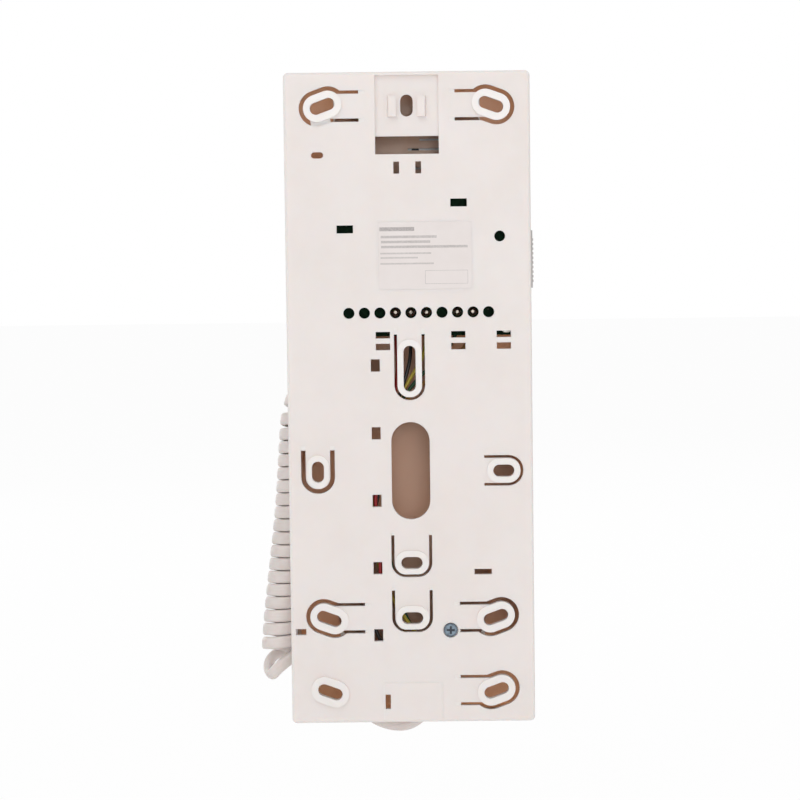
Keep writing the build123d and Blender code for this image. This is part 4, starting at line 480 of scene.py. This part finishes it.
def worked_metal_group():
    """Fine turning and plating marks."""
    group, given, leave = effect_group(
        "worked_metal",
        [
            ("Colour", "Color", (0.6, 0.6, 0.6, 1)),
            ("Tarnish", "Color", (0.3, 0.3, 0.3, 1)),
            ("Tarnishing", "Float", 0.5),
        ],
        [("Colour", "Color"), ("Roughness", "Float"), ("Height", "Float")],
    )
    place = object_place(group)
    cloud = remap(group, noise(group, place, 900.0, 4.0, 0.6), 0.4, 0.7)
    share = compute(group, "MULTIPLY", cloud, given["Tarnishing"], clamp=True)
    colour = mix_colour(group, share, given["Colour"], given["Tarnish"])
    fine = noise(group, place, 6000.0, 2.0)
    group.links.new(colour, leave.inputs["Colour"])
    group.links.new(remap(group, cloud, 0.0, 1.0, 0.34, 0.56), leave.inputs["Roughness"])
    group.links.new(fine, leave.inputs["Height"])
    return group


def box_mask_group():
    """1 inside an upright box, and 0 outside it."""
    group, given, leave = effect_group(
        "box_mask",
        [("Low", "Vector", (0, 0, 0)), ("High", "Vector", (0.001, 0.001, 0.001))],
        [("Mask", "Float")],
    )
    place = object_place(group)
    mask = 1.0
    for limit, sign in ((given["Low"], 1), (given["High"], -1)):
        away = add_node(group, "ShaderNodeVectorMath", {0: place, 1: limit}, operation="SUBTRACT")
        parts = add_node(group, "ShaderNodeSeparateXYZ", {0: away.outputs[0]})
        for axis in "XYZ":
            beyond = "GREATER_THAN" if sign > 0 else "LESS_THAN"
            mask = compute(group, "MULTIPLY", mask, compute(group, beyond, parts.outputs[axis]))
    group.links.new(mask, leave.inputs["Mask"])
    return group


moulded_surface = moulded_surface_group()
hairline_marks = hairline_marks_group()
settled_dust = settled_dust_group()
worked_metal = worked_metal_group()
box_mask = box_mask_group()


def use_group(tree, group, **inputs):
    node = tree.nodes.new("ShaderNodeGroup")
    node.node_tree = group
    for key, value in inputs.items():
        socket = node.inputs[key.replace("_", " ")]
        if isinstance(value, bpy.types.NodeSocket):
            tree.links.new(value, socket)
        else:
            socket.default_value = value
    return node.outputs


def masked_box(tree, low, high):
    """The box mask between two corners in millimetres."""
    return use_group(
        tree, box_mask, Low=[value * MM for value in low], High=[value * MM for value in high],
    )["Mask"]


# ---------------------------------------------------------------- the materials


BUMP_DEPTH = 0.02 * MM


def rgb(red, green, blue):
    return (red, green, blue, 1.0)


def new_finish(name, **sockets):
    """A material with its one Principled shader and that shader's plain values."""
    material = bpy.data.materials.new(name)
    material.use_nodes = True
    tree = material.node_tree
    shader = tree.nodes["Principled BSDF"]
    for key, value in sockets.items():
        shader.inputs[key.replace("_", " ")].default_value = value
    return material, tree, shader


def join(tree, shader, colour=None, roughness=None, height=None, distance=BUMP_DEPTH,
         strength=0.3):
    """Joins what the finish has worked out to the shader."""
    if colour is not None:
        tree.links.new(colour, shader.inputs["Base Color"])
    if roughness is not None:
        tree.links.new(roughness, shader.inputs["Roughness"])
    if height is not None:
        bump = add_node(tree, "ShaderNodeBump", {
            "Strength": strength, "Distance": distance, "Height": height,
        })
        tree.links.new(bump.outputs["Normal"], shader.inputs["Normal"])


GLOW_RADIUS = (1.0, 0.65, 0.48)
DUST = rgb(0.52, 0.49, 0.46)
DUST_AMOUNT = 0.25
HAIRLINE_AMOUNT = 0.25


def moulded_plastic(name, colour, soiled, gloss, grain=3000.0, soiling=0.4, strength=0.25,
                    glow=0.0, depth=0.003):
    """Moulded plastic with grain, dust on top and faint hairlines. Its glow is sunk-in light."""
    material, tree, shader = new_finish(name, IOR=1.5)
    if glow:
        shader.inputs["Subsurface Weight"].default_value = glow
        shader.inputs["Subsurface Scale"].default_value = depth
        shader.inputs["Subsurface Radius"].default_value = GLOW_RADIUS
    surface = use_group(
        tree, moulded_surface, Colour=colour, Soiled=soiled, Grain_Scale=grain,
        Soiling=soiling, Gloss=gloss,
    )
    powder = use_group(tree, settled_dust, Amount=DUST_AMOUNT)["Mask"]
    lines = use_group(tree, hairline_marks, Scale=26.0, Amount=HAIRLINE_AMOUNT)["Mask"]
    dusty = mix_colour(tree, powder, surface["Colour"], DUST)
    rubbed = compute(tree, "MULTIPLY", lines, 0.2)
    tinted = mix_colour(tree, rubbed, dusty, soiled)
    rough = compute(tree, "ADD", surface["Roughness"], compute(tree, "MULTIPLY", powder, 0.3))
    rough = compute(tree, "SUBTRACT", rough, compute(tree, "MULTIPLY", lines, 0.12))
    join(tree, shader, tinted, rough, surface["Height"], strength=strength)
    return material, tree, shader


IVORY = rgb(0.83, 0.765, 0.74)
IVORY_SOILED = rgb(0.77, 0.69, 0.65)
# The lighter ivory of the plate's painted highlights
HIGHLIGHT_IVORY = rgb(0.86, 0.815, 0.79)

# Depths under the wall plane, in metres, between which the plate's painted highlights fade in or
# out
RAISED_FADE = (-0.0006, -0.0001)
SUNK_FADE_IN = (-0.00104, -0.00118)
SUNK_FADE_OUT = (-0.0014, -0.0016)


def back_plate_finish():
    """Grained plate with painted highlights on its raised rings and sunk borders, and smoother
    rings.
    """
    material, tree, shader = moulded_plastic(
        "plate_plastic", IVORY, IVORY_SOILED, 0.5, glow=0.35,
    )
    depth = add_node(tree, "ShaderNodeSeparateXYZ", {0: object_place(tree)}).outputs["Y"]
    raised = remap(tree, depth, *RAISED_FADE)
    sunk = remap(tree, depth, *SUNK_FADE_IN)
    sunk = compute(tree, "SUBTRACT", sunk, remap(tree, depth, *SUNK_FADE_OUT))
    highlight_mask = compute(tree, "MAXIMUM", raised, sunk)
    colour = shader.inputs["Base Color"].links[0].from_socket
    rough = shader.inputs["Roughness"].links[0].from_socket
    # Painted highlight: raised rings and sunk borders are mixed towards a lighter ivory
    lighter = mix_colour(tree, compute(tree, "MULTIPLY", highlight_mask, 0.8), colour, HIGHLIGHT_IVORY)
    smoother = compute(tree, "SUBTRACT", rough, compute(tree, "MULTIPLY", raised, 0.15))
    join(tree, shader, lighter, smoother)
    return material


COVER_GLOW_RADIUS = (1.0, 0.94, 0.87)
# Painted light: two warm tones that stand in for light come through the plastic onto the cover's
# inside
COVER_THROUGH_LIGHT = rgb(0.82, 0.48, 0.34)
COVER_THROUGH_LIGHT_DARKER = rgb(0.77, 0.435, 0.30)

# Inside of the cover, where the painted warm light goes, and the two wells that reach into it and
# are left out, in millimetres
COVER_INSIDE = ((-38.5, -23.9, -81.2), (38.5, 0.0, 127.3))
WELL_OUTSIDES = (
    ((-24.0, -26.0, 76.5), (24.0, -19.5, 121.6)),
    ((-24.0, -26.0, -63.0), (24.0, -19.5, -22.0)),
)


def cover_finish():
    """Ivory outside, with painted warm light inside for the light that comes through the plastic.
    """
    material, tree, shader = moulded_plastic(
        "cover_plastic", IVORY, IVORY_SOILED, 0.42, glow=0.8, depth=0.008)
    shader.inputs["Subsurface Radius"].default_value = COVER_GLOW_RADIUS
    inside = masked_box(tree, *COVER_INSIDE)
    for low, high in WELL_OUTSIDES:
        outside = compute(tree, "SUBTRACT", 1.0, masked_box(tree, low, high))
        inside = compute(tree, "MULTIPLY", inside, outside)
    colour = shader.inputs["Base Color"].links[0].from_socket
    # Painted light: the cover's inside is mixed towards the warm tones
    through_light = mix_colour(
        tree, remap(tree, noise(tree, object_place(tree), 30.0, 3.0), 0.35, 0.65),
        COVER_THROUGH_LIGHT, COVER_THROUGH_LIGHT_DARKER)
    join(tree, shader, mix_colour(tree, inside, colour, through_light))
    return material


# Blank places of the sticker: centre X, centre Z, half length, half height, darkness
LABEL_BARS = [
    (3.6, 78.0, 5.6, 0.62, 0.78),
    (-0.2, 75.5, 9.0, 0.4, 0.58),
    (0.8, 73.9, 7.9, 0.4, 0.58),
    (-5.2, 72.3, 13.9, 0.4, 0.58),
    (0.8, 70.2, 8.2, 0.26, 0.48),
    (2.9, 68.8, 6.0, 0.26, 0.48),
    (0.4, 66.9, 8.6, 0.26, 0.48),
]
LABEL_BOX = (-12.25, 62.5, 6.9, 2.2)
LABEL_LINE = 0.16
LABEL_GROUND = rgb(0.765, 0.705, 0.685)
LABEL_GROUND_SHADE = rgb(0.74, 0.675, 0.65)
LABEL_GREY = rgb(0.2, 0.18, 0.18)


def label_finish():
    """A plain sticker: pale ground, thin blank rules and an empty box."""
    material, tree, shader = new_finish("sticker", IOR=1.5)
    place = object_place(tree)

    def bar(x, z, half_length, half_height):
        low = (x - half_length, -2.0, z - half_height)
        high = (x + half_length, 0.0, z + half_height)
        return masked_box(tree, low, high)

    ink = 0.0
    for x, z, half_length, half_height, darkness in LABEL_BARS:
        ink = compute(tree, "MAXIMUM", ink, compute(
            tree, "MULTIPLY", bar(x, z, half_length, half_height), darkness))
    x, z, half_length, half_height = LABEL_BOX
    outer = bar(x, z, half_length, half_height)
    inner = bar(x, z, half_length - LABEL_LINE, half_height - LABEL_LINE)
    frame_line = compute(tree, "MULTIPLY", compute(tree, "SUBTRACT", outer, inner), 0.5)
    ink = compute(tree, "MAXIMUM", ink, frame_line)
    fade = remap(tree, noise(tree, place, 2600.0, 3.0), 0.3, 0.7, 0.55, 1.0)
    ground = mix_colour(
        tree, remap(tree, noise(tree, place, 90.0, 4.0), 0.4, 0.7), LABEL_GROUND,
        LABEL_GROUND_SHADE)
    colour = mix_colour(tree, compute(tree, "MULTIPLY", ink, fade), ground, LABEL_GREY)
    rough = remap(tree, noise(tree, place, 500.0), 0.3, 0.7, 0.36, 0.48)
    join(tree, shader, colour, rough, noise(tree, place, 1500.0, 4.0), strength=0.15)
    return material


def board_finish():
    """Dark green solder mask with slightly lighter tracks and tinned pads."""
    material, tree, shader = new_finish("solder_mask", IOR=1.5, Specular_IOR_Level=0.04)
    place = object_place(tree)
    flat = add_node(tree, "ShaderNodeMapping", {
        "Vector": place, "Rotation": (0.0, math.radians(45), 0.0), "Scale": (1.0, 0.001, 1.0),
    }).outputs["Vector"]
    cells = add_node(tree, "ShaderNodeTexVoronoi", {
        "Vector": flat, "Scale": 230.0, "Randomness": 0.75,
    }, feature="DISTANCE_TO_EDGE")
    track = remap(tree, cells.outputs["Distance"], 0.05, 0.09, 1.0, 0.0)
    pads = add_node(tree, "ShaderNodeTexVoronoi", {
        "Vector": flat, "Scale": 390.0, "Randomness": 0.55,
    })
    pad = remap(tree, pads.outputs["Distance"], 0.12, 0.15, 1.0, 0.0)
    mask = mix_colour(tree, track, rgb(0.0012, 0.014, 0.005), rgb(0.003, 0.024, 0.009))
    colour = mix_colour(tree, pad, mask, rgb(0.05, 0.05, 0.04))
    rough = compute(tree, "ADD", 0.5, compute(tree, "MULTIPLY", pad, 0.2))
    join(tree, shader, colour, rough, compute(tree, "MAXIMUM", track, pad), 0.00004, 0.5)
    return material


def metal_finish(name, colour, tarnish, tarnishing):
    """Metal with fine tool marks, tarnish in patches and thin rubbed lines."""
    material, tree, shader = new_finish(name, Metallic=1.0)
    surface = use_group(
        tree, worked_metal, Colour=colour, Tarnish=tarnish, Tarnishing=tarnishing)
    lines = use_group(tree, hairline_marks, Scale=160.0, Amount=0.6)["Mask"]
    rough = compute(tree, "SUBTRACT", surface["Roughness"], compute(tree, "MULTIPLY", lines, 0.1))
    join(tree, shader, surface["Colour"], rough, surface["Height"], 0.00001, 0.4)
    return material, tree, shader


# Middle of the plate's screw. Painted shade darkens its edge between two radii, and its cross
# between two depths
PLATE_SCREW = (-12.35 * MM, 0.0, -52.1 * MM)
SCREW_RIM_SHADE = (1.5 * MM, 2.2 * MM)
SCREW_CROSS_SHADE = (-1.2 * MM, -1.45 * MM)


def plate_screw_finish():
    """Blued steel, with painted shade round the head's edge and down in the cross."""
    material, tree, shader = metal_finish(
        "blued_screw", rgb(0.2, 0.26, 0.31), rgb(0.09, 0.105, 0.125), 0.8)
    away = add_node(tree, "ShaderNodeVectorMath", {
        0: object_place(tree), 1: PLATE_SCREW,
    }, operation="SUBTRACT")
    flat = add_node(tree, "ShaderNodeVectorMath", {
        0: away.outputs[0], 1: (1.0, 0.0, 1.0),
    }, operation="MULTIPLY")
    radius = add_node(tree, "ShaderNodeVectorMath", {0: flat.outputs[0]}, operation="LENGTH")
    depth = add_node(tree, "ShaderNodeSeparateXYZ", {0: object_place(tree)}).outputs["Y"]
    rim_shade = remap(tree, radius.outputs["Value"], *SCREW_RIM_SHADE)
    cross = remap(tree, depth, *SCREW_CROSS_SHADE)
    # Painted shade on the domed head's edge and in the cross recess
    painted_screw_shade = compute(tree, "MAXIMUM", compute(tree, "MULTIPLY", rim_shade, 0.75), cross)
    colour = shader.inputs["Base Color"].links[0].from_socket
    join(tree, shader, mix_colour(tree, painted_screw_shade, colour, rgb(0.05, 0.055, 0.065)))
    return material


def soft_finish(name, colour, worn, gloss=0.55):
    """Rubber and soft vinyl: even, with pale rubbed patches."""
    material, tree, shader = new_finish(name, IOR=1.5, Sheen_Weight=0.15, Sheen_Roughness=0.5)
    surface = use_group(
        tree, moulded_surface, Colour=colour, Soiled=worn, Grain_Scale=1800.0, Soiling=0.6,
        Gloss=gloss)
    join(tree, shader, surface["Colour"], surface["Roughness"], surface["Height"], strength=0.2)
    return material


def cord_finish():
    """Vinyl jacket, a little darker and greyer in patches, with lines drawn along its length."""
    material, tree, shader = new_finish(
        "cord_jacket", IOR=1.5, Subsurface_Weight=0.12, Subsurface_Scale=0.0015)
    along = add_node(tree, "ShaderNodeUVMap", uv_map="along_cord").outputs["UV"]
    drawn = add_node(tree, "ShaderNodeMapping", {"Vector": along, "Scale": (26.0, 0.9, 1.0)})
    streak = noise(tree, drawn.outputs["Vector"], 1.6, 3.0, 0.6)
    patch = add_node(tree, "ShaderNodeMapping", {"Vector": along, "Scale": (1.2, 0.55, 1.0)})
    cloud = remap(tree, noise(tree, patch.outputs["Vector"], 1.0, 3.0), 0.35, 0.68)
    tone = mix_colour(tree, cloud, rgb(0.80, 0.735, 0.70), rgb(0.73, 0.67, 0.645))
    tone = mix_colour(
        tree, remap(tree, streak, 0.45, 0.75, 0.0, 0.3), tone, rgb(0.66, 0.58, 0.54))
    soil = noise(tree, object_place(tree), 150.0, 4.0, 0.6)
    tone = mix_colour(tree, remap(tree, soil, 0.5, 0.75, 0.0, 0.35), tone, rgb(0.62, 0.53, 0.47))
    rough = remap(tree, streak, 0.3, 0.7, 0.38, 0.52)
    fine = compute(tree, "ADD", streak, noise(tree, object_place(tree), 1700.0, 2.0))
    join(tree, shader, tone, rough, fine, 0.00003, 0.3)
    return material


def lens_finish():
    """Clear red light pipe."""
    material, tree, shader = new_finish("red_lens", IOR=1.49, Transmission_Weight=0.85)
    place = object_place(tree)
    cloud = remap(tree, noise(tree, place, 700.0, 3.0), 0.3, 0.7)
    colour = mix_colour(tree, cloud, rgb(0.78, 0.07, 0.05), rgb(0.66, 0.05, 0.04))
    rough = remap(tree, noise(tree, place, 1500.0), 0.3, 0.7, 0.1, 0.18)
    join(tree, shader, colour, rough)
    return material


# One can's middle along X, half the cans' spacing, and how far out a can's stripe fades in
CAN_PLACE = 0.006
CAN_HALF_SPACING = 0.005
CAN_STRIPE = (0.0021, 0.0023)


def capacitor_finish():
    """Dark sleeve with a pale polarity stripe down one side of each can."""
    material, tree, shader = new_finish("can_sleeve", IOR=1.5)
    place = object_place(tree)
    x = add_node(tree, "ShaderNodeSeparateXYZ", {0: place}).outputs["X"]
    across = compute(tree, "PINGPONG", compute(tree, "SUBTRACT", x, CAN_PLACE), CAN_HALF_SPACING)
    stripe = remap(tree, across, *CAN_STRIPE)
    sleeve = mix_colour(
        tree, remap(tree, noise(tree, place, 400.0), 0.3, 0.7), rgb(0.02, 0.022, 0.05),
        rgb(0.035, 0.038, 0.07))
    colour = mix_colour(tree, compute(tree, "MULTIPLY", stripe, 0.7), sleeve, rgb(0.5, 0.52, 0.55))
    join(tree, shader, colour, remap(tree, noise(tree, place, 900.0), 0.3, 0.7, 0.24, 0.36),
         noise(tree, place, 1200.0), strength=0.15)
    return material


plate = back_plate_finish()
cover = cover_finish()
handset_plastic = moulded_plastic(
    "handset_plastic", IVORY, IVORY_SOILED, 0.36, grain=3600.0, strength=0.16, glow=0.3)[0]
trim_plastic = moulded_plastic(
    "grey_trim", rgb(0.52, 0.50, 0.49), rgb(0.4, 0.385, 0.375), 0.42, soiling=0.5)[0]
inner_plastic = moulded_plastic(
    "terminal_plastic", rgb(0.56, 0.55, 0.52), rgb(0.42, 0.4, 0.37), 0.45, soiling=0.5)[0]
black_plastic = moulded_plastic(
    "black_plastic", rgb(0.018, 0.018, 0.019), rgb(0.04, 0.038, 0.036), 0.4, soiling=0.7)[0]
soft_black = soft_finish("soft_black", rgb(0.02, 0.02, 0.021), rgb(0.05, 0.048, 0.046))
soft_ivory = soft_finish("soft_ivory", rgb(0.72, 0.655, 0.62), rgb(0.6, 0.53, 0.49))
dark_screw = plate_screw_finish()
bright_screw = metal_finish("plated_screw", rgb(0.46, 0.45, 0.42), rgb(0.2, 0.18, 0.15), 0.9)[0]
solder = metal_finish("dull_solder", rgb(0.3, 0.27, 0.235), rgb(0.07, 0.06, 0.05), 1.0)[0]
sticker = label_finish()
board_mask = board_finish()
cord_jacket = cord_finish()
red_lens = lens_finish()
can_sleeve = capacitor_finish()
RED = (rgb(0.42, 0.018, 0.022), rgb(0.27, 0.014, 0.016))
YELLOW = (rgb(0.6, 0.47, 0.05), rgb(0.45, 0.33, 0.05))
wire_jackets = {
    "red_wire": ("red_jacket", *RED),
    "black_wire": ("black_jacket", rgb(0.012, 0.011, 0.012), rgb(0.03, 0.026, 0.024)),
    "yellow_wire": ("yellow_jacket", *YELLOW),
    "green_wire": ("green_jacket", rgb(0.012, 0.09, 0.035), rgb(0.01, 0.055, 0.025)),
    "amber_wire": ("amber_jacket", rgb(0.52, 0.25, 0.04), rgb(0.38, 0.17, 0.03)),
    "ear_wire": ("ear_jacket", *RED),
    "mic_wire": ("mic_jacket", *YELLOW),
}

FINISHES = {
    "back_plate": plate,
    "back_label": sticker,
    "plate_screw": dark_screw,
    "front_cover": cover,
    "cord_boot": soft_ivory,
    "main_board": board_mask,
    "board_screws": bright_screw,
    "main_terminal_block": inner_plastic,
    "door_terminal_block": inner_plastic,
    "terminal_screws": bright_screw,
    "solder_joints": solder,
    "volume_slider": trim_plastic,
    "volume_switch": black_plastic,
    "call_sounder": black_plastic,
    "indicator_led": red_lens,
    "indicator_lens": red_lens,
    "hook_switch": black_plastic,
    "hook_plunger": inner_plastic,
    "door_switch": black_plastic,
    "door_button": trim_plastic,
    "control_chip": black_plastic,
    "capacitors": can_sleeve,
    "wire_socket": inner_plastic,
    "handset_outer_shell": handset_plastic,
    "handset_inner_shell": handset_plastic,
    "handset_screws": bright_screw,
    "earpiece_gasket": soft_black,
    "earpiece": black_plastic,
    "microphone_boot": soft_black,
    "microphone": bright_screw,
    "handset_strain_relief": soft_ivory,
}
for node_name, (finish_name, colour, worn) in wire_jackets.items():
    FINISHES[node_name] = soft_finish(finish_name, colour, worn, 0.4)


def dress(piece, material):
    """Gives every material slot of the piece the one material."""
    if not piece.material_slots:
        piece.data.materials.append(material)
    for slot in piece.material_slots:
        slot.material = material


for node_name, material in FINISHES.items():
    dress(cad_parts[node_name], material)
dress(base_cord, cord_jacket)
dress(handset_cord, cord_jacket)

# ------------------------------------------------------ floor, backdrop and lamps

FLOOR_DROP = 42 * MM
FLOOR_SIZE = 8.0
FLOOR_CELLS = 8
FLOOR_WHITE = 0.95
SKY_LEVEL = 0.5

# Each lamp's name, place, diameter in metres and power in watts
LAMPS = [
    ("back_key", (0.3, 0.85, 0.85), 0.8, 3.05),
    ("back_soft", (-0.1, 1.15, 0.2), 0.5, 3.2),
    ("front_key", (-0.5, -0.95, 0.75), 0.9, 5.0),
    ("front_fill", (0.75, -0.9, 0.1), 0.9, 2.4),
]
LAMP_AIM = Vector((0, -0.02, 0.02))


def seen_directly(tree):
    """1 for rays that show the background as it is: straight, in a gloss or through glass."""
    path = add_node(tree, "ShaderNodeLightPath").outputs
    total = compute(tree, "ADD", path["Is Camera Ray"], path["Is Glossy Ray"])
    return compute(tree, "ADD", total, path["Is Transmission Ray"], clamp=True)


def make_floor():
    """A wide floor that shows nearly white and keeps a faint shadow."""
    bpy.ops.object.select_all(action="DESELECT")
    bpy.ops.mesh.primitive_grid_add(
        x_subdivisions=FLOOR_CELLS, y_subdivisions=FLOOR_CELLS, size=FLOOR_SIZE,
        location=(0, 0, cad_low.z - FLOOR_DROP))
    floor = bpy.context.object
    floor.name = "studio_floor"
    material, tree, shader = new_finish("studio_floor", Roughness=0.8)
    shader.inputs["Base Color"].default_value = rgb(0.9, 0.9, 0.9)
    white = add_node(tree, "ShaderNodeEmission", {"Color": rgb(1, 1, 1), "Strength": 1.0})
    share = compute(tree, "MULTIPLY", seen_directly(tree), FLOOR_WHITE)
    both = add_node(tree, "ShaderNodeMixShader", {
        0: share, 1: shader.outputs[0], 2: white.outputs[0],
    })
    tree.links.new(both.outputs[0], tree.nodes["Material Output"].inputs["Surface"])
    dress(floor, material)


def make_sky():
    """White where it is seen, and softer where it only lights."""
    world = bpy.data.worlds.new("studio")
    world.use_nodes = True
    tree = world.node_tree
    share = seen_directly(tree)
    strength = compute(tree, "ADD", SKY_LEVEL, compute(tree, "MULTIPLY", share, 1 - SKY_LEVEL))
    background = tree.nodes["Background"]
    background.inputs["Color"].default_value = rgb(1, 1, 1)
    tree.links.new(strength, background.inputs["Strength"])
    bpy.context.scene.world = world


def make_lamp(name, place, size, power):
    """A round soft lamp that looks at the intercom."""
    light = bpy.data.lights.new(name, "AREA")
    light.shape = "DISK"
    light.size = size
    light.energy = power
    lamp = bpy.data.objects.new(name, light)
    bpy.context.scene.collection.objects.link(lamp)
    turn = (LAMP_AIM - Vector(place)).to_track_quat("-Z", "Y")
    lamp.matrix_world = Matrix.Translation(place) @ turn.to_matrix().to_4x4()


make_floor()
make_sky()
for lamp_name, lamp_place, lamp_size, lamp_power in LAMPS:
    make_lamp(lamp_name, lamp_place, lamp_size, lamp_power)
bpy.context.scene.view_settings.view_transform = "Standard"
